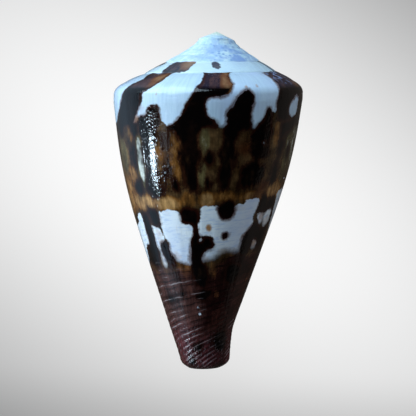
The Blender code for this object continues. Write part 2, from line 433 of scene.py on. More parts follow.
# Growth record on the face corners, then the sheets are closed into one wall
growth = grown.loops.layers.uv.new("growth")
lining = grown.loops.layers.float.new("lining")
for face in grown.faces:
    for corner in face.loops:
        corner[growth].uv = (corner.vert[layers[0]], corner.vert[layers[1]])
        corner[lining] = corner.vert[layers[2]]
bmesh.ops.remove_doubles(grown, verts=grown.verts, dist=2e-6)
open_edges = [edge for edge in grown.edges if edge.is_boundary]
caps = bmesh.ops.holes_fill(grown, edges=open_edges, sides=0)["faces"]
for face in caps:
    for corner in face.loops:
        corner[growth].uv = (TURNS, 1.0) if corner.vert.co.y > 0.0 else (0.5, LENGTH)
wide_caps = [face for face in caps if len(face.verts) > COLUMNS // 2]
centres = bmesh.ops.poke(grown, faces=wide_caps)["verts"]
for vert in centres:
    if vert.co.y > 0.0:
        vert.co = apex_place
bmesh.ops.recalc_face_normals(grown, faces=grown.faces)
if grown.calc_volume(signed=True) < 0.0:
    bmesh.ops.reverse_faces(grown, faces=grown.faces)
shape = bpy.data.meshes.new("cone_shell_wall")
grown.to_mesh(shape)
grown.free()
shell = bpy.data.objects.new("cone_shell_wall", shape)
bpy.context.scene.collection.objects.link(shell)
shape.shade_smooth()
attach(shell, "root")
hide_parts("cone_shell")

# Markings: pigment that the animal's mantle lays into the outer layer as the lip grows.
# They are brown-black blotches on a brown ground, with blue-white patches at the shoulder and a broken band,
# and a few marks of painted light among them.
# Outlines are in degrees round from the top of the back and in millimetres below the apex.
BACK = LIP_ANGLE - 90.0


def above(around, share):
    """A place on the ramp of the last turn, or of the one before with 360 added."""
    turns = (around + BACK) / 360.0
    return (around, shoulder_depth(turns) - share * RAMP_SPAN * WHORL_RATIO**-turns)


WHITE = [
    [above(-150, 1.2), above(-66, 1.2), above(-65, 0.9), above(-57, 0.5), (-60, 9.2), (-62, 10), (-65, 11),
     (-65.5, 12), (-68, 13), (-72, 14), (-75, 15), (-80, 16.3), (-90, 16.8), (-104, 15.8), (-112, 13.6),
     (-124, 13.0), (-135, 15.5), (-150, 15)],
    [above(-37, 1.1), above(-36.5, 0.5), (-38, 9), (-41, 10), (-45, 10.8), (-47, 11.3), (-45, 11.8),
     (-46, 12.5), (-50, 14), (-53, 15.3), (-55.5, 16.5), (-53, 16.3), (-50.5, 15.2), (-49, 14.8),
     (-43.5, 14.9), (-42.5, 13.7), (-41, 13.1), (-38.5, 12.7), (-35, 12.9), (-33.5, 14), (-33, 15),
     (-31, 15.8), (-28, 16.2), (-26.5, 16.1), (-25, 15.7), (-22, 15), (-20, 14), (-18, 13.2), (-16.5, 12),
     (-14, 11.2), (-12.5, 10.6), (-12, 10), (-10, 9), above(-9.5, 0.5), above(-10, 1.1)],
    [above(12, 1.1), above(9, 0.5), (12, 9), (10.5, 10), (8, 10.6), (4, 11), (0, 11), (-3, 11.2),
     (-5, 11.5), (-5.5, 12.5), (-4.5, 13.8), (-3, 14.5), (0, 14.8), (2, 15.3), (3.5, 16), (5, 16),
     (8, 15.7), (7, 14.8), (7, 13.7), (9, 13.2), (10.5, 13), (11, 12), (13, 11.2), (15, 10.6), (17, 10.2),
     (19, 9.8), (20, 9.3), (21, 10.2), (22, 10.6), (24, 11), (23.5, 12), (22.5, 13), (22.5, 14), (24, 15),
     (25, 16.3), (27, 15.5), (30, 15), (31.5, 14), (33, 13.2), (34.5, 12.7), (37, 13), (38.5, 13.6),
     (41, 13.5), (41.5, 12.5), (41, 11.5), (42, 11), (45, 10.7), (47.5, 10), (47, 9), above(48, 0.5),
     above(52, 1.1)],
    [(54, 12.5), (56.5, 11.6), (60, 10.9), (63, 10.5), (67, 10.8), (67.5, 12), (66.5, 13.4), (63.5, 14.3),
     (60, 14.6), (56, 14.1), (54, 13.2)],
    [(-90, 34.7), (-74, 33.8), (-74.5, 33), (-72, 32.3), (-65.5, 31.8), (-65, 35), (-64.5, 36.5),
     (-65, 37.2), (-70, 37.5), (-75, 37.9), (-77, 38.5), (-77, 39.5), (-80, 40.3), (-84, 41), (-90, 41.6),
     (-99, 40.6), (-103, 37.5), (-99, 35)],
    [(-54.5, 34), (-50, 33.8), (-45, 34), (-44, 35), (-42.5, 36), (-44, 36.5), (-47.5, 36.7),
     (-49.5, 37.5), (-50.5, 38.3), (-53, 38), (-54, 36.5), (-54.5, 35)],
    [(-50.5, 38.2), (-49, 38.9), (-47.5, 39.6), (-47, 40.5), (-48.5, 41), (-50.5, 40.8), (-51.5, 39.5)],
    [(-43, 31), (-41, 31.3), (-38, 31), (-35, 30.7), (-30, 30.7), (-27, 30.8), (-25, 31), (-25, 32),
     (-24, 32.8), (-22, 33.1), (-18, 33.1), (-15.5, 33.2), (-14.7, 34), (-14.5, 34.9), (-16, 35.3),
     (-18, 35.9), (-18.8, 37), (-18.5, 38), (-18, 39), (-18.5, 39.8), (-20, 40.2), (-25, 40), (-29, 39.7),
     (-33, 39.5), (-35, 39), (-38, 38.5), (-39.5, 37.8), (-38.5, 37), (-39, 36.2), (-41, 36),
     (-42.5, 34.5), (-43.5, 33.5), (-43, 32)],
    [(-8.5, 31), (-8, 30), (-5, 29.8), (0, 29.6), (2, 29.8), (4.5, 29.6), (11, 30.5), (18.5, 30),
     (19, 29.4), (22, 29.3), (25, 29.5), (27, 29), (26.5, 28.7), (30, 28.5), (35, 28.3), (38.5, 28.4),
     (39.5, 28.8), (39, 29.5), (39.5, 30.3), (38, 30.8), (36.5, 31.2), (37, 32), (38, 32.8), (37, 33.5),
     (34.5, 34.1), (32, 34.8), (30, 35.5), (29.5, 36.3), (29.5, 36.9), (28, 37.3), (25, 37.5), (20, 37.4),
     (15, 37.3), (12, 37.5), (9, 37.8), (6, 38.3), (3, 38.8), (-2, 39.1), (-6, 39.3), (-7.4, 39),
     (-7.2, 38.4), (-6, 37.8), (-3, 37.5), (1, 37.2), (3.5, 36.8), (3.2, 36), (1.5, 35.1), (-2, 34.8),
     (-6, 34.9), (-9.4, 34.9), (-10.2, 34), (-10.4, 33), (-9, 32)],
    [(41, 31), (44, 30.9), (48, 31.2), (49.5, 31.8), (49, 32.6), (46.5, 32.9), (43, 32.3), (41, 31.6)],
    [(51, 31.2), (54, 30.6), (58, 30.4), (61, 30.6), (62, 31.2), (60.5, 31.8), (62, 32.3), (59, 32.9),
     (57, 33.5), (54.5, 33.6), (52.5, 33), (50.5, 32)],
    [(62, 27.5), (65, 27.2), (70, 27.1), (90, 27), (103, 27.6), (106, 30), (100, 33.5), (97, 35.6),
     (90, 35.2), (80, 35.1), (75, 34.8), (71, 34), (68.5, 33), (67, 32), (66, 31), (65, 30), (63.5, 29),
     (62, 28)],
    [(43, 35.5), (46, 35.9), (50, 36.1), (51.5, 36.6), (50, 37), (46, 37.1), (43.5, 36.7)],
]

DARK = [
    [above(-60, 1.1), above(-57, 0.5), (-60, 8.6), (-62.5, 10), (-66, 11.5), (-66, 12.3), (-73, 14.4),
     (-80, 16.2), (-86, 17.0), (-84, 18.2), (-80, 18), (-76, 19), (-70, 18.5), (-65, 17), (-62.5, 16.6),
     (-60, 16.8), (-58, 17.5), (-57, 19.5), (-60, 20.5), (-65, 21), (-64, 22.5), (-60, 24), (-56.5, 24.2),
     (-55.5, 22), (-54.5, 19.5), (-51.5, 17.5), (-50, 15.5), (-56, 16.4), (-50, 14), (-46.5, 12.5),
     (-48, 11.5), (-45, 10.9), (-41, 10), (-38.5, 9), above(-38, 0.5), above(-38, 1.1)],
    [(-64, 26.8), (-60, 26), (-55.5, 25.3), (-53.5, 26.5), (-54, 28), (-57, 28.6), (-61, 28.2),
     (-65, 27.5)],
    # This blotch has a notch from -37.6 to -32.4 round that leaves ground showing, for the tan stripes of a
    # painted reflection beside the long highlight
    [(-50, 15), (-46, 14.8), (-43.5, 14.5), (-42, 13.3), (-38.5, 12.7), (-35, 12.9), (-33.5, 14),
     (-33, 15.5), (-34, 16.5), (-37, 16.8), (-37.6, 20), (-37.4, 24), (-36, 26.4), (-34.3, 27.2),
     (-33.4, 24), (-33.4, 18.5), (-32.4, 17.5), (-31.7, 20), (-31, 24), (-32, 27.5), (-38, 28.8),
     (-45, 28.6), (-51, 28), (-50, 26.8), (-49, 23), (-49.5, 19.5), (-51.5, 17.2)],
    [(-31, 16.6), (-28, 16.4), (-25, 16), (-20, 14.5), (-16, 12.2), (-12.5, 10.6), (-10, 9),
     above(-9.5, 0.5), above(-10, 1.1), above(11.5, 1.1), above(9.5, 0.5), (11, 9.2), (8.5, 10.2), (4, 11),
     (0, 11), (-5, 11.4), (-5.5, 12.6), (-4.5, 14), (0, 15), (2, 15.6), (3, 16.3), (1, 16.6), (-3, 16.3),
     (-8, 16.4), (-9, 18), (-8.5, 21), (-9.5, 24), (-8.5, 26.5), (-10, 27.5), (-16, 27.7), (-20.5, 27.2),
     (-21, 25), (-21.2, 21), (-22, 17.6), (-25, 17), (-29, 17.4)],
    [(-31, 17), (-28, 17.4), (-27.6, 21), (-27.8, 25), (-24, 25.6), (-22, 27.3), (-26, 27.6), (-31, 27.2),
     (-31, 24.5)],
    [(-6, 20.5), (-3, 20), (-0.5, 20.5), (0, 22), (-2, 22.8), (-5, 22.4)],
    [(-6.5, 25), (-3, 24.3), (-0.5, 25), (-0.5, 26.5), (-4, 27), (-6.5, 26.3)],
    [(5, 16), (8, 15.8), (7, 13.7), (10.5, 13), (12, 11.5), (16, 10.5), (20, 9.4), (24, 11), (22.5, 13.5),
     (24.5, 15.8), (23, 16.6), (18, 16.8), (14, 17), (13.5, 20), (14.5, 23), (12, 26), (10, 27.4), (5, 27),
     (3, 25), (4, 20)],
    [(25, 16.5), (30, 15.2), (33, 13.2), (34.5, 12.7), (37, 13), (39, 14), (40, 15.5), (41, 18), (40, 21),
     (36, 21.6), (30, 21.5), (24, 20.8), (22.5, 18.5)],
    [(20.5, 22), (25, 21.8), (30, 22), (35, 22.3), (38.5, 22.8), (40.5, 24), (38, 25.2), (34, 26.0),
     (27, 26.6), (20, 26.6), (16, 26.0), (20, 24.5)],
    [above(48, 1.1), above(47, 0.5), (47, 8), (42, 11), (41, 11.6), (41.5, 13), (42.5, 15), (48, 15.2),
     (55, 15), (60, 14.6), (64, 14.2), (66.5, 13), (67, 11.2), (70, 10.5), (78, 10.5), (90, 12.5),
     (98, 12), (110, 11), (116, 9.5), above(112, 0.5), above(106, 1.1)],
    [(66.5, 13), (67, 11.2), (70, 10.5), (78, 10.5), (90, 12.5), (100, 12.5), (104, 15), (98, 17.5),
     (90, 16.5), (80, 16.8), (72, 15.8), (64, 16.2), (60, 17), (54, 17.2), (50, 18.5), (47, 16.5),
     (48, 15.2), (55, 15), (60, 14.6), (64, 14.2)],
    [(45, 22.7), (48, 22.2), (52, 22.8), (54, 24), (53, 25.5), (50, 26.2), (46, 25.6), (44, 24.2)],
    [(48, 18.5), (52, 18), (55, 19), (54, 20.8), (50, 21.2), (47.5, 20.3)],
    [(60, 18.5), (64, 18.8), (64.5, 20.5), (62, 21.3), (59.5, 20.3)],
    [(-64, 31.8), (-58, 31.6), (-54.5, 32), (-54.5, 35), (-54, 36.5), (-53, 38), (-54, 39.3), (-55, 40.5),
     (-56, 41.4), (-66, 41.2), (-75, 41), (-80, 40.8), (-77, 39.2), (-74, 38.2), (-70, 37.7),
     (-65.5, 37.3), (-64.5, 36.5), (-65, 35)],
    [(-57, 31.3), (-53, 30.8), (-50, 30.6), (-45, 30.7), (-43, 31.5), (-42.5, 33), (-43, 33.8), (-47, 34),
     (-52, 33.8)],
    [(-49, 37.3), (-47, 36.7), (-44, 36.4), (-41, 36.3), (-39.5, 36.8), (-39.5, 37.6), (-40.5, 38),
     (-38.5, 38.6), (-36, 39), (-35.5, 40), (-36, 41), (-44, 41), (-45, 40), (-47.5, 39.2), (-49.5, 38.3)],
    [(-25, 31.2), (-24, 30.5), (-20, 30), (-15, 30), (-10, 30.2), (-9, 31), (-9, 32), (-10.5, 33),
     (-10.3, 34.4), (-9, 35), (-5, 35), (-1, 34.9), (1.5, 35.3), (3, 36.1), (3, 36.8), (0, 37.4),
     (-4, 37.6), (-7, 38.4), (-8, 39.4), (-6, 40), (-2, 40.4), (-1, 42.6), (-2, 44.0), (-9, 44.3),
     (-17, 43.8), (-19, 42), (-18.5, 39.6), (-18.4, 37.4), (-17.6, 36), (-14.7, 35), (-14.6, 33.6),
     (-16, 33.1), (-22, 33), (-24.4, 32.4)],
    [(4, 30.3), (5, 29.5), (8, 28.7), (12, 28.5), (16, 28.6), (18.5, 29.2), (18.5, 30.5), (17, 31.4),
     (13.5, 31.9), (8, 31.9), (5.5, 31.3)],
    [(9, 35), (10.5, 34.5), (13, 34.3), (14.7, 34.6), (14.5, 35.2), (13, 35.5), (11, 35.6), (9.5, 35.4)],
    [(30, 35), (36, 33.6), (41, 32.4), (47, 33.2), (53, 34), (62, 33.2), (66, 34.6), (66, 37), (58, 37.6),
     (51.5, 37.2), (51.4, 36.4), (46, 35.7), (43, 35.6), (43.6, 37), (38, 38.8), (30, 38.4), (30, 36.6)],
    [(39.5, 30.8), (40, 28.2), (47, 27.8), (56, 28), (61.5, 28.2), (64.5, 30), (65.5, 31.5), (67, 33.5),
     (62, 33.4), (62, 31), (56, 30.3), (50.5, 31), (49.8, 31.2), (44, 30.6), (41, 30.9)],
]

# Smaller blotches low on the front end, cut off by the cords
DARK += [
    [(-18, 45.6), (-10, 44.9), (-2, 44.5), (5, 44.8), (4, 45.8), (-4, 46.6), (-12, 46.9), (-18, 46.5)],
    [(-63, 46.5), (-52, 46.0), (-43, 46.0), (-43, 47.2), (-52, 47.9), (-63, 48.0)],
    [(-37, 45.5), (-32, 45.0), (-29, 45.6), (-31, 46.3), (-36, 46.4)],
    [(-40, 42.3), (-35, 42.0), (-34, 43.3), (-39, 43.7)],
    [(12, 53.2), (22, 52.2), (36, 52.4), (48, 53.8), (46, 55.8), (30, 56.2), (18, 55.6), (10, 54.6)],
    [(-30, 54.9), (-16, 54.4), (-6, 55.0), (-14, 56.0), (-28, 56.4)],
    [(-46, 58.3), (-34, 57.4), (-24, 57.7), (-27, 58.8), (-44, 59.2)],
    [(16, 40.0), (30, 39.4), (40, 40.6), (38, 43.0), (26, 44.2), (16, 43.2)],
]

# Blotches of the turn before, which only shows its ramp
DARK += [
    [above(306, -0.1), above(307, 0.4), above(306, 1.2), above(338, 1.2), above(336, 0.5),
     above(334, -0.1)],
    [above(355, 1.0), above(356, 0.5), above(360, 0.2), above(365, 0.3), above(365, 0.75),
     above(361, 1.0)],
    [above(236, 0.0), above(240, 0.6), above(238, 1.2), above(252, 1.2), above(255, 0.4),
     above(250, -0.1)],
    [above(276, 0.3), above(275, 1.2), above(286, 1.2), above(284, 0.5)],
    [above(428, -0.1), above(430, 0.5), above(426, 1.2), above(437, 1.2), above(440, 0.4),
     above(438, -0.1)],
    [above(488, 0.2), above(486, 1.2), above(500, 1.2), above(498, 0.1)],
    [above(540, -0.1), above(543, 0.7), above(552, 0.6), above(553, -0.1)],
]

# Painted glints: tiny white spots where the lamps glint on small bumps, and the pale islands that lie inside
# a dark blotch
GLINT_PLACES = ((-9, 35.8, 1.2), (34, 18.7, 0.8), (69, 25.1, 2.0), (-13, 49.2, 1.6), (-15, 48.0, 1.3))
PAINTED_GLINTS = [
    [(middle - wide, depth), (middle, depth - 0.16), (middle + wide, depth), (middle, depth + 0.16)]
    for middle, depth, wide in GLINT_PLACES
]
ISLANDS_AND_GLINTS = [WHITE[3]] + PAINTED_GLINTS

# Warm ground showing between the blotches: around, depth, half width round, half height, strength
AMBER = [
    # The spot at -34.8 round is the tan of a painted reflection beside the long highlight, and it is copied
    # further round with the rest
    (-24.5, 22, 4.0, 5.0, 0.75), (-34.8, 21.5, 2.2, 6.0, 0.5), (-60, 18, 3.0, 1.4, 0.9),
    (-64, 25, 5.0, 1.6, 1.0), (-72, 27.5, 9.0, 3.0, 0.8), (-58, 29.9, 15.0, 1.6, 1.25),
    (-35, 29.7, 12.0, 1.4, 1.35), (-17, 28.8, 7.0, 1.3, 0.7), (-4, 28.6, 6.0, 1.4, 1.3),
    (10, 27.9, 9.0, 1.1, 0.8), (30, 28.0, 11.0, 1.0, 1.05), (52, 26.8, 14.0, 1.6, 1.1),
    # The spot at 45 round partly paints light: it lifts the ground on the right, where the lamps on the left
    # light it less, and so does its copy further round
    (45, 16.5, 3.6, 3.0, 0.6), (-25, 41.4, 8.0, 1.8, 0.6), (-67, 43.2, 9.0, 1.5, 0.5),
    (4, 41.8, 4.0, 2.2, 0.4), (-24, 45.0, 4.0, 1.2, 0.65), (10, 45.6, 5.0, 0.9, 0.7),
    (54, 42.0, 8.0, 3.4, 0.35), (-41, 8.0, 6.0, 3.2, 1.0), (8, 8.0, 5.0, 3.4, 0.95),
    (331, 3.8, 9.0, 2.8, 1.2), (76, 9.0, 10.0, 1.3, 0.9), (80, 24, 8.0, 3.0, 0.5),
    (-80, 30, 12.0, 2.4, 0.9), (95, 24, 10.0, 2.0, 0.6), (19.5, 9.2, 1.4, 0.5, 0.9),
    (27, 9.0, 1.2, 0.5, 0.9), (-2, 33.6, 2.6, 0.7, 1.1), (46, 31.7, 3.0, 0.6, 0.8),
]
# Tan stains in the white, and where the white fades softly into the brown
STAIN = [
    (-2, 33.6, 2.8, 0.75, 1.0), (46, 31.7, 4.0, 1.0, 0.7), (56, 32.6, 5.0, 1.4, 0.6),
    (19.5, 9.2, 1.4, 0.5, 0.9), (27, 9.0, 1.2, 0.5, 0.9), (-48, 35.6, 4.6, 2.0, 0.55),
    (-28.5, 34.2, 0.9, 1.6, 0.6), (-50, 40.2, 4.0, 1.6, 0.5), (-52, 15.6, 3.4, 1.2, 0.8),
    (-46, 11.6, 2.4, 1.0, 0.6), (-37, 31.4, 6.0, 0.7, 0.5), (22, 30.0, 7.0, 0.8, 0.45),
    (-33, 38.8, 7.0, 1.0, 0.55), (18, 37.6, 14.0, 0.9, 0.5), (-4, 39.2, 4.0, 0.8, 0.6),
    (-46, 13.9, 4.0, 1.2, 0.5), (-35.5, 11, 1.2, 0.5, 0.9), (-50, 10.2, 2.0, 0.8, 0.5),
    (47, 36.3, 5.0, 1.0, 0.9), (30, 14.4, 3.0, 1.0, 0.35), (9, 13.0, 1.6, 1.2, 0.5),
]
SOFT = [
    (-49, 40.0, 5.0, 1.8, 0.8), (-54.5, 35.5, 2.4, 2.0, 0.6), (15, 38.4, 26.0, 2.6, 1.0),
    (-30, 40.0, 12.0, 1.6, 0.6), (-2, 40.0, 8.0, 1.6, 0.7), (48, 36.5, 8.0, 2.0, 0.8),
    (3, 15.4, 6.0, 1.4, 0.5), (27, 15.6, 6.0, 1.6, 0.6), (55, 32.0, 9.0, 2.0, 0.5),
]
# Olive and cream clouds in the brown ground
PALE = [
    (-52, 22.5, 3.2, 4.4, 1.3), (-5.5, 18.5, 3.2, 3.0, 0.7), (-7, 24, 2.6, 3.2, 0.6),
    (62, 20, 5.0, 6.0, 0.8), (44, 18.5, 4.0, 4.5, 0.25), (-61, 18, 2.6, 1.2, 0.5),
    # The spot at 68 round partly paints light: it lifts the ground on the right, where the lamps on the left
    # light it less
    (-74, 22, 7.0, 4.5, 0.55), (74, 19, 9.0, 6.0, 0.85), (1.5, 21, 2.0, 6.0, 0.2), (68, 16, 5.0, 2.4, 0.8),
]

# Painted sheen: where the cords of the front end are lightened as the lamps' reflection on them, strongest on
# the left, with more spots further round
PAINTED_SHEEN = [
    (-52, 50, 36.0, 9.0, 1.0), (-28, 48, 20.0, 6.0, 0.75), (8, 56, 30.0, 3.5, 0.55),
    (-10, 58.5, 30.0, 1.6, 0.9), (64, 52.5, 22.0, 3.6, 0.7), (70, 57.5, 24.0, 1.8, 0.8),
    (125, 50, 30.0, 9.0, 0.8), (185, 47, 20.0, 6.0, 0.8),
]


# The far side and the underside, which the photo hides, repeat what shows, mirrored or further round
PATTERN_CLIMB = 0.28
MIRRORED_FROM, MIRRORED_TO = -58, 57
MIRROR_SUM = 157.0
REPEATED_TO, REPEATED_CENTRE = -122.0, 14.0


def climbed_depth(around, depth, there):
    """Depth of a marking that is moved to another place round the shell and keeps to the spiral."""
    return depth * math.exp(-PATTERN_CLIMB * (there - around) / 360.0)


def moved(outline, start, mirror, centre):
    """A copy of an outline further round."""
    copy = []
    for around, depth in outline:
        there = start + mirror * (around - centre)
        copy.append((there, climbed_depth(around, depth, there)))
    return copy


def within(outline, low, high):
    """Whether the middle of an outline lies between two places round the shell."""
    middle = sum(place[0] for place in outline) / len(outline)
    return low <= middle <= high


visible_white, visible_dark = list(WHITE), list(DARK)
for outlines, source in ((WHITE, visible_white), (DARK, visible_dark)):
    to_mirror = [outline for outline in source if within(outline, MIRRORED_FROM, MIRRORED_TO)]
    outlines += [moved(outline, MIRROR_SUM, -1.0, 0.0) for outline in to_mirror]
    to_repeat = [outline for outline in source if within(outline, -4, 40)]
    outlines += [moved(outline, REPEATED_TO, 1.0, REPEATED_CENTRE) for outline in to_repeat]
for spots in (AMBER, PALE, STAIN, SOFT):
    source = list(spots)
    for around, depth, wide, high, strength in source:
        if MIRRORED_FROM <= around <= MIRRORED_TO:
            there = MIRROR_SUM - around
            spots.append((there, climbed_depth(around, depth, there), wide, high, strength))
        if -12 <= around <= 40:
            there = REPEATED_TO - REPEATED_CENTRE + around
            spots.append((there, climbed_depth(around, depth, there), wide, high, strength))


def rounded(outline):
    """Cuts the corners of a closed outline twice, so it has no straight sides."""
    points = np.array(outline, dtype=float)
    for _ in range(2):
        ahead = np.roll(points, -1, axis=0)
        points = np.stack([0.75 * points + 0.25 * ahead, 0.25 * points + 0.75 * ahead], axis=1).reshape(-1, 2)
    return points


def girth(around, depth):
    """Radius in mm at a chart place, which turns degrees into a width on the skin."""
    turns = (around + BACK) / 360.0
    edge = shoulder_depth(turns)
    radius = side_radius(turns, np.clip(np.maximum(depth, edge), 0.0, LENGTH - END_ROUNDING))
    above_edge = np.clip((edge - depth) / RAMP_SPAN * WHORL_RATIO**turns, 0.0, 1.2)
    return radius * (1.0 - 0.26 * above_edge)


# Past this many millimetres from an outline, the distance no longer matters
FAR = 3.0
SLIMMEST_RADIUS = 8.0


def reach(around, depth, outlines):
    """Distance in mm from each place to the nearest outline, positive inside a blotch."""
    best = np.full(around.shape, -FAR)
    scale = girth(around, depth) * math.pi / 180.0
    for outline in outlines:
        points = rounded(outline)
        centre = points[:, 0].mean()
        margin = np.degrees(FAR / SLIMMEST_RADIUS)
        near = (around > points[:, 0].min() - margin) & (around < points[:, 0].max() + margin)
        near &= (depth > points[:, 1].min() - FAR) & (depth < points[:, 1].max() + FAR)
        index = np.flatnonzero(near)
        if len(index) == 0:
            continue
        across = (around[index] - centre) * scale[index]
        down_here = depth[index]
        corner_across = (points[:, 0] - centre) * girth(points[:, 0], points[:, 1]) * math.pi / 180.0
        corner_down = points[:, 1]
        nearest = np.full(len(index), 1e9)
        crossings = np.zeros(len(index), dtype=int)
        for step in range(len(points)):
            x0, y0 = corner_across[step - 1], corner_down[step - 1]
            x1, y1 = corner_across[step], corner_down[step]
            length = max(1e-9, (x1 - x0) ** 2 + (y1 - y0) ** 2)
            along = np.clip(((across - x0) * (x1 - x0) + (down_here - y0) * (y1 - y0)) / length, 0.0, 1.0)
            gap = (across - x0 - along * (x1 - x0)) ** 2 + (down_here - y0 - along * (y1 - y0)) ** 2
            nearest = np.minimum(nearest, gap)
            if y0 != y1:
                spans = (down_here > min(y0, y1)) & (down_here <= max(y0, y1))
                meets = x0 + (down_here - y0) * (x1 - x0) / (y1 - y0) > across
                crossings += (spans & meets).astype(int)
        distance = np.sqrt(nearest) * np.where(crossings % 2 == 1, 1.0, -1.0)
        best[index] = np.maximum(best[index], distance)
    return np.clip(best, -FAR, FAR)


def glow(around, depth, spots):
    """Soft patches: 1 at the middle of a spot, falling to 0 at its edge."""
    total = np.zeros(around.shape)
    for middle, low, wide, high, strength in spots:
        gap = ((around - middle) / wide) ** 2 + ((depth - low) / high) ** 2
        total = np.maximum(total, strength * np.clip(1.25 - 0.75 * gap, 0.0, 1.0))
    return total


# Each face corner keeps how far it is inside each kind of marking
TURN_LENGTH = 105.0
SPIRAL_STRETCH = 17.0
corner_count = len(shape.loops)
grown_at = np.zeros(corner_count * 2, dtype=np.float32)
shape.uv_layers["growth"].uv.foreach_get("vector", grown_at)
grown_at = grown_at.reshape(-1, 2).astype(float)
places_once, where_from = np.unique(np.round(grown_at, 5), axis=0, return_inverse=True)
where_from = where_from.ravel()
turns_once = places_once[:, 0]
around_once = turns_once * 360.0 - BACK
depth_once = places_once[:, 1]

# Blotches blur on the sides, and the brown of the front end starts lower in some places than in others
loose = np.clip((depth_once - 16.0) / 2.5, 0.0, 1.0) * np.clip((31.0 - depth_once) / 2.0, 0.0, 1.0)
red_start = 1.2 * np.sin(np.radians(around_once)) + 1.8 * np.clip((around_once - 4.0) / 22.0, 0.0, 1.0)
red_start += 1.3 * np.exp(-(((around_once + 25.0) / 12.0) ** 2))
above_shoulder = shoulder_depth(turns_once) - depth_once
spire_age = np.clip((turns_once - 0.97) / 0.03, 0.0, 1.0) + np.clip((turns_once - 1.0) / 4.0, 0.0, 1.0)
outside_islands_and_glints = -reach(around_once, depth_once, ISLANDS_AND_GLINTS)
for name, values in (
    ("white_reach", reach(around_once, depth_once, WHITE + PAINTED_GLINTS)),
    ("dark_reach", np.minimum(reach(around_once, depth_once, DARK), outside_islands_and_glints)),
    ("amber", glow(around_once, depth_once, AMBER)),
    ("pale", glow(around_once, depth_once, PALE)),
    ("stain", glow(around_once, depth_once, STAIN)),
    ("soft", glow(around_once, depth_once, SOFT)),
    ("painted_sheen", glow(around_once, depth_once, PAINTED_SHEEN)),
    ("loose", np.maximum(loose, 0.5 * np.clip((depth_once - 39.0) / 2.0, 0.0, 1.0))),
    ("band", np.clip((depth_once - 18.0) / 10.0, 0.0, 1.0)),
    ("front", np.clip((depth_once - 35.6 + red_start) / 8.0, 0.0, 1.5)),
    ("tip", np.clip((depth_once - 50.0) / 5.0, 0.0, 1.0)),
    ("ramp", np.clip(above_shoulder / 0.6, 0.0, 1.0)),
    ("spire", spire_age),
):
    record = shape.attributes.new(name, "FLOAT", "CORNER")
    record.data.foreach_set("value", values[where_from].astype(np.float32))

# Three maps of the skin: millimetres across and down it, cords counted across, and the climb of the spiral
grown_turns, grown_depth = grown_at[:, 0], grown_at[:, 1]
for name, across, down_skin in (
    ("skin_mm", grown_turns * TURN_LENGTH, grown_depth),
    ("cords", cord_phase(grown_turns, grown_depth), grown_turns * TURN_LENGTH),
    ("spiral", grown_turns * SPIRAL_STRETCH, grown_depth * np.exp(CORD_CLIMB * grown_turns)),
):
    chart_map = shape.uv_layers.new(name=name)
    chart_map.uv.foreach_set("vector", np.stack([across, down_skin], axis=-1).astype(np.float32).ravel())
for old in ("turns", "chart", "inside"):
    if old in shape.attributes:
        shape.attributes.remove(shape.attributes[old])

# Surface: polished shell, which is aragonite with pigment in its outer layer under a clear glossy skin.
# Growth lines and small dents break up its reflection, the cords are duller and the worn spire is chalky.
# Scales are in grains to the metre on Object coordinates, and to the millimetre on the skin's own maps.


def linear(code):
    """sRGB hex to linear colour."""
    parts = [int(code[place : place + 2], 16) / 255.0 for place in (1, 3, 5)]
    return [part / 12.92 if part <= 0.04045 else ((part + 0.055) / 1.055) ** 2.4 for part in parts] + [1.0]


def add(tree, kind, settings, links):
    """Adds a node, gives it settings and input values, and links other nodes' outputs to its inputs."""
    node = tree.nodes.new("ShaderNode" + kind)
    for name, value in settings.items():
        if isinstance(name, str) and hasattr(node, name):
            setattr(node, name, value)
        else:
            node.inputs[name].default_value = value
    for socket, (source, output) in links.items():
        tree.links.new(source.outputs[output], node.inputs[socket])
    return node


polish = bpy.data.materials.new("polished_shell")
polish.use_nodes = True
tree = polish.node_tree
shader = tree.nodes["Principled BSDF"]
smooth = {"interpolation_type": "SMOOTHSTEP"}
# A mix of colours takes them at its inputs 6 and 7 and gives the result at its output 2
colours = {"data_type": "RGBA"}

objects = add(tree, "TexCoord", {}, {})
skin_place = add(tree, "UVMap", {"uv_map": "skin_mm"}, {})
cord_place = add(tree, "UVMap", {"uv_map": "cords"}, {})
spiral_place = add(tree, "UVMap", {"uv_map": "spiral"}, {})
MARKS = ("white_reach", "dark_reach", "amber", "pale", "stain", "soft", "painted_sheen", "loose", "band", "front")
MARKS += ("tip", "ramp", "spire", "lining")
records = {name: add(tree, "Attribute", {"attribute_name": name}, {}) for name in MARKS}

# Grains of 2.2, 3.2, 8 and 0.6 mm, and growth streaks drawn out along the lip's direction
waver = add(tree, "TexNoise", {"Scale": 455.0, "Detail": 2.0}, {"Vector": (objects, "Object")})
mottle = add(
    tree, "TexNoise", {"Scale": 312.0, "Detail": 4.0, "Roughness": 0.6}, {"Vector": (objects, "Object")}
)
mottle_wide = add(tree, "TexNoise", {"Scale": 125.0, "Detail": 2.0}, {"Vector": (objects, "Object")})
nibbles = add(tree, "TexNoise", {"Scale": 1667.0, "Detail": 2.0}, {"Vector": (objects, "Object")})
flame_place = add(tree, "Mapping", {"Scale": (1.0, 0.31, 1.0)}, {"Vector": (skin_place, 0)})
flames = add(tree, "TexNoise", {"Scale": 0.8, "Detail": 2.0}, {"Vector": (flame_place, 0)})
cloud_place = add(tree, "Mapping", {"Scale": (1.0, 0.55, 1.0)}, {"Vector": (skin_place, 0)})
clouds = add(
    tree, "TexNoise", {"Scale": 0.55, "Detail": 5.0, "Roughness": 0.6}, {"Vector": (cloud_place, 0)}
)
streak_place = add(tree, "Mapping", {"Scale": (1.0, 0.09, 1.0)}, {"Vector": (skin_place, 0)})
streaks = add(
    tree, "TexNoise", {"Scale": 1.7, "Detail": 5.0, "Roughness": 0.65}, {"Vector": (streak_place, 0)}
)
threads = add(
    tree, "TexNoise", {"Scale": 2.0, "Detail": 4.0, "Roughness": 0.62}, {"Vector": (spiral_place, 0)}
)

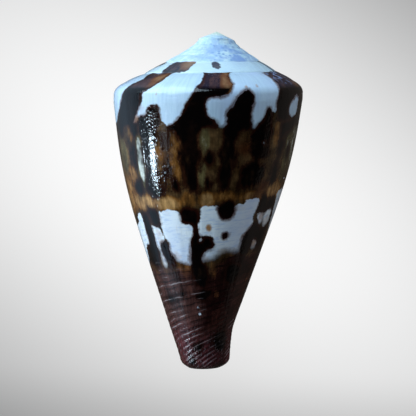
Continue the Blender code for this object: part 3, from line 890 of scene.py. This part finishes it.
# Edges of the blotches waver as the pigment glands switch on and off, and on the sides they blur
drift = add(tree, "Math", {"operation": "MULTIPLY_ADD", 1: 0.5, 2: -0.79}, {0: (waver, 0)})
for grain, amount in ((flames, 0.5), (nibbles, 0.58)):
    drift = add(tree, "Math", {"operation": "MULTIPLY_ADD", 1: amount}, {0: (grain, 0), 2: (drift, 0)})
white_edge = add(tree, "Math", {"operation": "ADD"}, {0: (records["white_reach"], "Fac"), 1: (drift, 0)})
white_blur = add(
    tree, "Math", {"operation": "MULTIPLY_ADD", 1: 0.8, 2: 0.13}, {0: (records["soft"], "Fac")}
)
white_edge = add(tree, "Math", {"operation": "DIVIDE"}, {0: (white_edge, 0), 1: (white_blur, 0)})
white = add(tree, "MapRange", smooth | {"From Min": -1.0, "From Max": 1.0}, {"Value": (white_edge, 0)})
loose_drift = add(tree, "Math", {"operation": "MULTIPLY_ADD", 1: 3.2, 2: -1.5}, {0: (clouds, 0)})
drift = add(
    tree,
    "Math",
    {"operation": "MULTIPLY_ADD"},
    {0: (loose_drift, 0), 1: (records["loose"], "Fac"), 2: (drift, 0)},
)
dark_edge = add(tree, "Math", {"operation": "SUBTRACT"}, {0: (records["dark_reach"], "Fac"), 1: (drift, 0)})
dark_blur = add(
    tree, "Math", {"operation": "MULTIPLY_ADD", 1: 0.42, 2: 0.13}, {0: (records["loose"], "Fac")}
)
dark_share = add(tree, "Math", {"operation": "DIVIDE"}, {0: (dark_edge, 0), 1: (dark_blur, 0)})
dark = add(tree, "MapRange", smooth | {"From Min": -1.0, "From Max": 1.0}, {"Value": (dark_share, 0)})
near_dark = add(tree, "MapRange", smooth | {"From Min": -1.1, "From Max": 0.5}, {"Value": (dark_edge, 0)})
halo_edge = add(
    tree, "Math", {"operation": "MULTIPLY_ADD", 1: 1.6}, {0: (mottle_wide, 0), 2: (dark_edge, 0)}
)
halo = add(tree, "MapRange", smooth | {"From Min": 0.26, "From Max": 0.85}, {"Value": (halo_edge, 0)})

# Ground: olive brown to amber above the white band, reddish brown below it
brown = add(tree, "MapRange", smooth | {"From Min": 0.35, "From Max": 0.65}, {"Value": (mottle, 0)})
ground = add(tree, "Mix", colours | {6: linear("#33200F"), 7: linear("#5A4228")}, {"Factor": (brown, 0)})
amber = add(tree, "Math", {"operation": "ADD", 1: -1.2}, {0: (mottle, 0)})
amber = add(tree, "Math", {"operation": "MULTIPLY_ADD", 1: 1.4}, {0: (clouds, 0), 2: (amber, 0)})
amber = add(tree, "Math", {"operation": "ADD"}, {0: (amber, 0), 1: (records["amber"], "Fac")})
warm = add(tree, "MapRange", smooth | {"From Min": 0.15, "From Max": 0.85}, {"Value": (amber, 0)})
golden = add(tree, "MapRange", {"From Min": 0.70, "From Max": 1.65}, {"Value": (amber, 0)})
pale = add(tree, "Math", {"operation": "MULTIPLY_ADD", 1: 1.2, 2: -0.6}, {0: (clouds, 0)})
pale = add(tree, "Math", {"operation": "ADD"}, {0: (pale, 0), 1: (records["pale"], "Fac")})
olive = add(tree, "MapRange", smooth | {"From Min": 0.2, "From Max": 0.7}, {"Value": (pale, 0)})
cream = add(tree, "MapRange", smooth | {"From Min": 0.75, "From Max": 1.25}, {"Value": (pale, 0)})
rust = add(tree, "MapRange", smooth | {"From Min": 0.58, "From Max": 0.74}, {"Value": (mottle_wide, 0)})
for share, tint in (
    (warm, "#72481F"),
    (golden, "#B98F5C"),
    (olive, "#564B2F"),
    (cream, "#C3C5BC"),
    (rust, "#42200F"),
):
    ground = add(tree, "Mix", colours | {7: linear(tint)}, {"Factor": (share, 0), 6: (ground, 2)})

# Front end: reddish brown, with a painted sheen that lightens it in places, painted highlights on the crests
# of the cords and painted shade in the grooves between them
front = add(tree, "MapRange", smooth | {"From Min": 0.42, "From Max": 0.66}, {"Value": (mottle, 0)})
front = add(tree, "Mix", colours | {6: linear("#220C0B"), 7: linear("#3E1F1A")}, {"Factor": (front, 0)})
front_warm = add(tree, "MapRange", smooth | {"From Min": 0.35, "From Max": 0.95}, {"Value": (amber, 0)})
front = add(tree, "Mix", colours | {7: linear("#6B4026")}, {"Factor": (front_warm, 0), 6: (front, 2)})
# Colour of the painted sheen, more purple-red at the tip
painted_sheen_tint = add(
    tree, "Mix", colours | {6: linear("#4C2F2B"), 7: linear("#57292C")}, {"Factor": (records["tip"], "Fac")}
)
front = add(
    tree, "Mix", colours, {"Factor": (records["painted_sheen"], "Fac"), 6: (front, 2), 7: (painted_sheen_tint, 2)}
)
cord_noise_place = add(tree, "Mapping", {"Scale": (0.9, 0.11, 1.0)}, {"Vector": (cord_place, 0)})
cord_noise = add(
    tree, "TexNoise", {"Scale": 1.0, "Detail": 3.0, "Roughness": 0.6}, {"Vector": (cord_noise_place, 0)}
)
cord_axes = add(tree, "SeparateXYZ", {}, {"Vector": (cord_place, 0)})
wavy = add(tree, "Math", {"operation": "MULTIPLY_ADD", 1: 0.7}, {0: (waver, 0), 2: (cord_axes, 0)})
off_crest = add(tree, "Math", {"operation": "PINGPONG", 1: 0.5}, {0: (wavy, 0)})
groove = add(tree, "MapRange", smooth | {"From Min": 0.30, "From Max": 0.46}, {"Value": (off_crest, 0)})
groove_gap = add(tree, "MapRange", {"From Min": 0.36, "From Max": 0.52}, {"Value": (cord_noise, 0)})
groove = add(tree, "Math", {"operation": "MULTIPLY"}, {0: (groove, 0), 1: (groove_gap, 0)})
front_depth = add(
    tree, "Math", {"operation": "MULTIPLY_ADD", 1: 0.75}, {0: (waver, 0), 2: (records["front"], "Fac")}
)
below_band = add(
    tree, "MapRange", smooth | {"From Min": 0.81, "From Max": 1.19}, {"Value": (front_depth, 0)}
)
ground = add(tree, "Mix", colours, {"Factor": (below_band, 0), 6: (ground, 2), 7: (front, 2)})

# Tone of the ground, varied at random by clouds, growth streaks and spiral threads, and painted shade in the
# grooves between the cords of the front end
shade = add(tree, "Math", {"operation": "MULTIPLY_ADD", 1: 2.4, 2: -0.2}, {0: (clouds, 0)})
streak_shade = add(tree, "Math", {"operation": "MULTIPLY_ADD", 1: 1.8, 2: 0.1}, {0: (streaks, 0)})
thread_shade = add(tree, "Math", {"operation": "MULTIPLY_ADD", 1: 0.6, 2: 0.7}, {0: (threads, 0)})
groove_shade = add(tree, "Math", {"operation": "MULTIPLY"}, {0: (groove, 0), 1: (below_band, 0)})
groove_shade = add(tree, "Math", {"operation": "MULTIPLY_ADD", 1: -0.6, 2: 1.0}, {0: (groove_shade, 0)})
for other in (streak_shade, thread_shade, groove_shade):
    shade = add(tree, "Math", {"operation": "MULTIPLY"}, {0: (shade, 0), 1: (other, 0)})
ground = add(tree, "VectorMath", {"operation": "SCALE"}, {"Vector": (ground, 2), "Scale": (shade, 0)})

# Brown-black pigment, reddish in places, browner where its edge is loose
pigment = add(tree, "MapRange", smooth | {"From Min": 0.45, "From Max": 0.72}, {"Value": (mottle, 0)})
pigment = add(tree, "Mix", colours | {6: linear("#050303"), 7: linear("#150906")}, {"Factor": (pigment, 0)})
thin = add(tree, "MapRange", smooth | {"From Min": 0.50, "From Max": 0.70}, {"Value": (clouds, 0)})
thin = add(tree, "Math", {"operation": "MULTIPLY"}, {0: (thin, 0), 1: (records["loose"], "Fac")})
pigment = add(tree, "Mix", colours | {7: linear("#26170C")}, {"Factor": (thin, 0), 6: (pigment, 2)})
reddish = add(tree, "MapRange", smooth | {"From Min": 0.45, "From Max": 0.6}, {"Value": (mottle_wide, 0)})
edge_pigment = add(tree, "Mix", colours | {7: linear("#210B07")}, {"Factor": (reddish, 0), 6: (pigment, 2)})
near_dark_share = add(tree, "Math", {"operation": "MULTIPLY", 1: 0.85}, {0: (near_dark, 0)})
ground = add(tree, "Mix", colours, {"Factor": (near_dark_share, 0), 6: (ground, 0), 7: (edge_pigment, 2)})

# White: bluish, with streaks, faint spiral lines and tan stains; it is painted brighter in the band than at
# the shoulder, which is painted light
shoulder_white = add(
    tree, "MapRange", smooth | {"From Min": 0.35, "From Max": 0.75}, {"Value": (streaks, 0)}
)
shoulder_white = add(
    tree, "Mix", colours | {6: linear("#CADFEF"), 7: linear("#B6CEE2")}, {"Factor": (shoulder_white, 0)}
)
band_white_painted_brighter = add(tree, "MapRange", smooth | {"From Min": 0.45, "From Max": 0.70}, {"Value": (threads, 0)})
band_white_painted_brighter = add(
    tree, "Mix", colours | {6: linear("#F3F9FE"), 7: linear("#D0DEF2")}, {"Factor": (band_white_painted_brighter, 0)}
)
white_tint = add(
    tree, "Mix", colours, {"Factor": (records["band"], "Fac"), 6: (shoulder_white, 2), 7: (band_white_painted_brighter, 2)}
)
lavender = add(tree, "MapRange", {"From Min": 0.46, "From Max": 0.80}, {"Value": (mottle_wide, 0)})
white_tint = add(
    tree, "Mix", colours | {7: linear("#C6D6F4")}, {"Factor": (lavender, 0), 6: (white_tint, 2)}
)
stain = add(tree, "Math", {"operation": "MULTIPLY_ADD", 1: 0.8, 2: -0.4}, {0: (mottle, 0)})
stain = add(tree, "Math", {"operation": "ADD"}, {0: (stain, 0), 1: (records["stain"], "Fac")})
stain = add(tree, "MapRange", smooth | {"From Min": 0.30, "From Max": 1.15}, {"Value": (stain, 0)})
white_tint = add(tree, "Mix", colours | {7: linear("#A9743E")}, {"Factor": (stain, 0), 6: (white_tint, 2)})
colour = add(tree, "Mix", colours, {"Factor": (white, 0), 6: (ground, 2), 7: (white_tint, 2)})

# Brown halo round each blotch in the white, then the blotch; on the ramp it is lighter and purplish brown
halo = add(tree, "Math", {"operation": "MULTIPLY"}, {0: (halo, 0), 1: (white, 0)})
halo = add(tree, "Math", {"operation": "MULTIPLY", 1: 0.85}, {0: (halo, 0)})
colour = add(tree, "Mix", colours | {7: linear("#5A321C")}, {"Factor": (halo, 0), 6: (colour, 2)})
ramp_dark = add(tree, "MapRange", smooth | {"From Min": 0.40, "From Max": 0.66}, {"Value": (clouds, 0)})
ramp_dark = add(
    tree, "Mix", colours | {6: linear("#2A2230"), 7: linear("#50393A")}, {"Factor": (ramp_dark, 0)}
)
light_brown = add(tree, "MapRange", smooth | {"From Min": 0.1, "From Max": 0.8}, {"Value": (amber, 0)})
ramp_dark = add(
    tree, "Mix", colours | {7: linear("#704630")}, {"Factor": (light_brown, 0), 6: (ramp_dark, 2)}
)
tan = add(tree, "MapRange", smooth | {"From Min": 0.7, "From Max": 1.4}, {"Value": (amber, 0)})
ramp_dark = add(tree, "Mix", colours | {7: linear("#987252")}, {"Factor": (tan, 0), 6: (ramp_dark, 2)})
blotch = add(tree, "Mix", colours, {"Factor": (records["ramp"], "Fac"), 6: (pigment, 2), 7: (ramp_dark, 2)})
rim = add(tree, "MapRange", smooth | {"From Min": 1.35, "From Max": 0.80}, {"Value": (halo_edge, 0)})
rim = add(tree, "Math", {"operation": "MULTIPLY", 1: 0.6}, {0: (rim, 0)})
blotch = add(tree, "Mix", colours | {7: linear("#34130A")}, {"Factor": (rim, 0), 6: (blotch, 2)})
colour = add(tree, "Mix", colours, {"Factor": (dark, 0), 6: (colour, 2), 7: (blotch, 2)})

# Blue-grey scuffs of 0.9 mm through the dark of the ramp, near one place on its right
scuffs = add(
    tree, "TexNoise", {"Scale": 1100.0, "Detail": 3.0, "Roughness": 0.6}, {"Vector": (objects, "Object")}
)
scuff = add(tree, "MapRange", smooth | {"From Min": 0.50, "From Max": 0.60}, {"Value": (scuffs, 0)})
scuff_gap = add(
    tree, "VectorMath", {"operation": "DISTANCE", 1: (0.0105, 0.0205, 0.0205)}, {0: (objects, "Object")}
)
scuff_near = add(
    tree, "MapRange", {"From Min": 0.0048, "From Max": 0.0015}, {"Value": (scuff_gap, "Value")}
)
for where in (scuff_near, dark):
    scuff = add(tree, "Math", {"operation": "MULTIPLY"}, {0: (scuff, 0), 1: (where, 0)})
colour = add(tree, "Mix", colours | {7: linear("#8C9CC4")}, {"Factor": (scuff, 0), 6: (colour, 2)})

# Painted highlights: pale lines on the crests of the cords, broken along the cord, and pale flecks on the
# ridges at the very end, both laid where the painted sheen is
crest = add(tree, "MapRange", smooth | {"From Min": 0.15, "From Max": 0.0}, {"Value": (off_crest, 0)})
broken = add(tree, "MapRange", smooth | {"From Min": 0.47, "From Max": 0.64}, {"Value": (cord_noise, 0)})
for where in ((broken, 0), (records["painted_sheen"], "Fac"), (below_band, 0)):
    crest = add(tree, "Math", {"operation": "MULTIPLY"}, {0: (crest, 0), 1: where})
colour = add(tree, "Mix", colours | {7: linear("#9C8F90")}, {"Factor": (crest, 0), 6: (colour, 2)})
fleck_place = add(tree, "Mapping", {"Scale": (1.5, 0.75, 1.0)}, {"Vector": (cord_place, 0)})
flecks = add(
    tree, "TexNoise", {"Scale": 1.0, "Detail": 3.0, "Roughness": 0.6}, {"Vector": (fleck_place, 0)}
)
fleck = add(tree, "MapRange", smooth | {"From Min": 0.56, "From Max": 0.68}, {"Value": (flecks, 0)})
for name in ("tip", "painted_sheen"):
    fleck = add(tree, "Math", {"operation": "MULTIPLY"}, {0: (fleck, 0), 1: (records[name], "Fac")})
colour = add(tree, "Mix", colours | {7: linear("#7E7478")}, {"Factor": (fleck, 0), 6: (colour, 2)})

# Worn spire: chalky sky blue with grains of 1.1 mm, violet-blue clouds of 2.6 mm near one place on its right
# flank, which partly paint the shade there, a few pits and a creamy tip
chalk = add(
    tree, "TexNoise", {"Scale": 900.0, "Detail": 4.0, "Roughness": 0.65}, {"Vector": (objects, "Object")}
)
cloudy = add(
    tree, "TexNoise", {"Scale": 380.0, "Detail": 4.0, "Roughness": 0.6}, {"Vector": (objects, "Object")}
)
chalk_share = add(tree, "MapRange", smooth | {"From Min": 0.40, "From Max": 0.65}, {"Value": (chalk, 0)})
chalk_tint = add(
    tree, "Mix", colours | {6: linear("#B8D4E6"), 7: linear("#D4E7F0")}, {"Factor": (chalk_share, 0)}
)
# Near one place on the spire's right flank, where the violet clouds partly paint the shade on that flank
cloud_gap = add(
    tree, "VectorMath", {"operation": "DISTANCE", 1: (0.0045, 0.0238, 0.0225)}, {0: (objects, "Object")}
)
cloud_near = add(tree, "MapRange", {"From Min": 0.0085, "From Max": 0.002}, {"Value": (cloud_gap, "Value")})
violet = add(tree, "MapRange", smooth | {"From Min": 0.38, "From Max": 0.62}, {"Value": (cloudy, 0)})
violet = add(tree, "Math", {"operation": "MULTIPLY"}, {0: (violet, 0), 1: (cloud_near, 0)})
pit_cells = add(tree, "TexVoronoi", {"Scale": 1150.0, "Randomness": 1.0}, {"Vector": (objects, "Object")})
pit = add(
    tree, "MapRange", smooth | {"From Min": 0.42, "From Max": 0.18}, {"Value": (pit_cells, "Distance")}
)
pit = add(tree, "Math", {"operation": "MULTIPLY"}, {0: (pit, 0), 1: (cloud_near, 0)})
tip_gap = add(tree, "VectorMath", {"operation": "DISTANCE", 1: tuple(apex_place)}, {0: (objects, "Object")})
creamy = add(tree, "MapRange", {"From Min": 0.0028, "From Max": 0.0006}, {"Value": (tip_gap, "Value")})
for share, tint in ((violet, "#8CA8D8"), (pit, "#86A6D6"), (creamy, "#E2ECDC")):
    chalk_tint = add(
        tree, "Mix", colours | {7: linear(tint)}, {"Factor": (share, 0), 6: (chalk_tint, 2)}
    )
worn_share = add(
    tree, "MapRange", smooth | {"From Min": 1.02, "From Max": 1.35}, {"Value": (records["spire"], "Fac")}
)
on_spire = add(
    tree, "MapRange", smooth | {"From Min": 0.4, "From Max": 0.9}, {"Value": (records["spire"], "Fac")}
)
spire_tint = add(tree, "Mix", colours | {6: linear("#D3E7F2")}, {"Factor": (dark, 0), 7: (blotch, 2)})
colour = add(tree, "Mix", colours, {"Factor": (on_spire, 0), 6: (colour, 2), 7: (spire_tint, 2)})
colour = add(tree, "Mix", colours, {"Factor": (worn_share, 0), 6: (colour, 2), 7: (chalk_tint, 2)})

# Lining of the opening: smooth pale blue-white
colour = add(
    tree, "Mix", colours | {7: linear("#CFDDE6")}, {"Factor": (records["lining"], "Fac"), 6: (colour, 2)}
)
tree.links.new(colour.outputs[2], shader.inputs["Base Color"])

# Gloss: sharp on the back, duller on the cords and chalky on the worn spire
roughness = add(tree, "Math", {"operation": "MULTIPLY_ADD", 1: 0.08, 2: 0.04}, {0: (mottle, 0)})
for share, amount in ((worn_share, 0.35), (below_band, 0.16)):
    roughness = add(
        tree, "Math", {"operation": "MULTIPLY_ADD", 1: amount}, {0: (share, 0), 2: (roughness, 0)}
    )
tree.links.new(roughness.outputs[0], shader.inputs["Roughness"])
shader.inputs["IOR"].default_value = 1.55

# Fine relief in metres: spiral threads, scratches, dents and the pits of the worn spire
# The dents are 0.4 mm across, coarser than real ones, so that they still break up the highlight at this size
scratch_place = add(tree, "Mapping", {"Scale": (1.0, 0.11, 1.0)}, {"Vector": (skin_place, 0)})
scratches = add(tree, "TexNoise", {"Scale": 2.3, "Detail": 2.0}, {"Vector": (scratch_place, 0)})
dents = add(tree, "TexNoise", {"Scale": 2500.0, "Detail": 1.0}, {"Vector": (objects, "Object")})
height = add(tree, "Math", {"operation": "MULTIPLY", 1: 0.00001}, {0: (threads, 0)})
for grain, deep in ((scratches, 0.000042), (dents, 0.000046)):
    height = add(tree, "Math", {"operation": "MULTIPLY_ADD", 1: deep}, {0: (grain, 0), 2: (height, 0)})
pits = add(tree, "Math", {"operation": "MULTIPLY", 1: 0.00012}, {0: (worn_share, 0)})
height = add(tree, "Math", {"operation": "MULTIPLY_ADD"}, {0: (chalk, 0), 1: (pits, 0), 2: (height, 0)})
bump = add(tree, "Bump", {"Strength": 0.8, "Distance": 1.0}, {"Height": (height, 0)})
tree.links.new(bump.outputs[0], shader.inputs["Normal"])
shape.materials.append(polish)

# Floor: a plain pale sheet of matt acrylic, which the shell lies on.
# It is lit from below as a light table is, so it is brightest under the shell and falls off to its corners.
floor_mesh = bmesh.new()
bmesh.ops.create_grid(floor_mesh, x_segments=8, y_segments=8, size=1.5)
floor_shape = bpy.data.meshes.new("floor")
floor_mesh.to_mesh(floor_shape)
floor_mesh.free()
floor = bpy.data.objects.new("floor", floor_shape)
bpy.context.scene.collection.objects.link(floor)

# Matt acrylic gives an even glow and no reflection of the shell
sheet = bpy.data.materials.new("matt_acrylic")
sheet.use_nodes = True
tree = sheet.node_tree
sheet_shader = tree.nodes["Principled BSDF"]
floor_place = add(tree, "TexCoord", {}, {})
stretch = add(
    tree,
    "Mapping",
    {
        "vector_type": "TEXTURE",
        "Location": (-0.002, 0.0045, 0.0),
        "Rotation": (0.0, 0.0, math.radians(-27.6)),
        "Scale": (0.107, 0.0565, 1.0),
    },
    {"Vector": (floor_place, "Object")},
)
distance = add(tree, "VectorMath", {"operation": "DOT_PRODUCT"}, {0: (stretch, 0), 1: (stretch, 0)})
away = add(tree, "Math", {"operation": "MULTIPLY", 1: -1.0}, {0: (distance, "Value")})
lit = add(tree, "Math", {"operation": "EXPONENT"}, {0: (away, 0)})
lit = add(tree, "Math", {"operation": "MULTIPLY", 1: 0.975}, {0: (lit, 0)})
side_place = add(tree, "SeparateXYZ", {}, {"Vector": (floor_place, "Object")})
near_edge = add(
    tree,
    "MapRange",
    smooth | {"From Min": -0.028, "From Max": -0.041, "To Min": 1.0, "To Max": 0.80},
    {"Value": (side_place, "Y")},
)
lit = add(tree, "Math", {"operation": "MULTIPLY"}, {0: (lit, 0), 1: (near_edge, 0)})
lit = add(tree, "Math", {"operation": "MAXIMUM", 1: 0.32}, {0: (lit, 0)})
# The shell sees the sheet as a dimmer surface, bluish on the left, so its flanks keep their depth; its dark
# warm middle under the shell is a painted shadow of the shell on the sheet
left_side = add(tree, "MapRange", {"From Min": -0.018, "From Max": -0.042}, {"Value": (side_place, "X")})
right_side = add(tree, "MapRange", {"From Min": 0.020, "From Max": 0.050}, {"Value": (side_place, "X")})
bounce = add(
    tree, "Mix", colours | {6: linear("#342C25"), 7: linear("#90A8C0")}, {"Factor": (left_side, 0)}
)
bounce = add(tree, "Mix", colours | {7: linear("#524B46")}, {"Factor": (right_side, 0), 6: (bounce, 2)})
straight_on = add(tree, "LightPath", {}, {})
glow_colour = add(
    tree,
    "Mix",
    colours | {7: linear("#FFFFFF")},
    {"Factor": (straight_on, "Is Camera Ray"), 6: (bounce, 2)},
)
glow_strength = add(
    tree, "Mix", {"data_type": "FLOAT", 2: 1.0}, {"Factor": (straight_on, "Is Camera Ray"), 3: (lit, 0)}
)
tree.links.new(glow_strength.outputs[0], sheet_shader.inputs["Emission Strength"])
tree.links.new(glow_colour.outputs[2], sheet_shader.inputs["Emission Color"])
sheet_shader.inputs["Base Color"].default_value = linear("#3C3734")
sheet_shader.inputs["Roughness"].default_value = 0.9
sheet_shader.inputs["Specular IOR Level"].default_value = 0.0
floor_shape.materials.append(sheet)

# Studio light: a large cool soft box beyond the spire on the left, and two narrow strips low on the left.
# The strips give the long highlight down the back, and the weak fills around are hidden from reflections.
LIGHT_AIM = Vector((0.0, 0.0, 0.012))


def soft_box(name, direction, distance, size, energy, colour):
    """A rectangular lamp that looks at the shell from a direction, at a distance in metres."""
    lamp = bpy.data.lights.new(name, "AREA")
    lamp.shape = "RECTANGLE"
    lamp.size, lamp.size_y = size
    lamp.energy = energy
    lamp.color = colour
    holder = bpy.data.objects.new(name, lamp)
    bpy.context.scene.collection.objects.link(holder)
    towards = Vector(direction).normalized()
    holder.location = towards * distance + LIGHT_AIM
    holder.rotation_euler = towards.to_track_quat("Z", "Y").to_euler()
    return holder


# Direction, distance, size in metres, watts and colour
soft_box("key_light", (-0.62, 0.60, 0.50), 0.75, (0.8, 0.8), 7.5, (0.64, 0.85, 1.0))
soft_box("left_strip", (-0.93, -0.356, 0.10), 0.45, (0.066, 0.040), 0.62, (0.68, 0.86, 1.0))
soft_box("thin_strip", (-0.82, -0.36, 0.42), 0.45, (0.16, 0.004), 0.03, (0.80, 0.92, 1.0))
fills = [
    soft_box("top_fill", (0.05, 0.00, 0.98), 0.70, (0.50, 0.50), 0.7, (0.60, 0.80, 1.0)),
    soft_box("back_fill", (0.35, 0.90, 0.26), 0.70, (0.50, 0.50), 2.2, (0.62, 0.83, 1.0)),
    soft_box("left_fill", (-0.98, 0.15, 0.12), 0.60, (0.40, 0.40), 2.8, (0.88, 0.95, 1.0)),
    soft_box("right_fill", (0.98, 0.0, 0.10), 0.60, (0.40, 0.40), 1.0, (0.92, 0.96, 1.0)),
]
for fill in fills:
    fill.visible_glossy = False

world = bpy.data.worlds.new("studio")
bpy.context.scene.world = world
world.use_nodes = True
world.node_tree.nodes["Background"].inputs["Color"].default_value = linear("#121212")

# Camera: almost straight above the shell, leaning a little towards its front end.
# The photo shows the shell upright, so the camera looks down on it with the spire at the top.
CAMERA_TILT = math.radians(9.04)
CAMERA_ROLL = math.radians(1.68)
CAMERA_DISTANCE = 0.3
CAMERA_AIM = Vector((0.0006, -0.0013, 0.012))
camera_data = bpy.data.cameras.new("camera")
camera = bpy.data.objects.new("camera", camera_data)
bpy.context.scene.collection.objects.link(camera)
bpy.context.scene.camera = camera
camera_data.sensor_width = 36.0
camera_data.lens = 147.4
camera_data.clip_start = 0.01
back = Vector((0.0, -math.sin(CAMERA_TILT), math.cos(CAMERA_TILT)))
level_right = Vector((0.0, 1.0, 0.0)).cross(back).normalized()
level_up = back.cross(level_right)
right = math.cos(CAMERA_ROLL) * level_right + math.sin(CAMERA_ROLL) * level_up
up = -math.sin(CAMERA_ROLL) * level_right + math.cos(CAMERA_ROLL) * level_up
facing = Matrix((right, up, back)).transposed().to_4x4()
camera.matrix_world = Matrix.Translation(CAMERA_AIM + CAMERA_DISTANCE * back) @ facing

bpy.context.scene.view_settings.view_transform = "Standard"
bpy.context.scene.view_settings.look = "None"
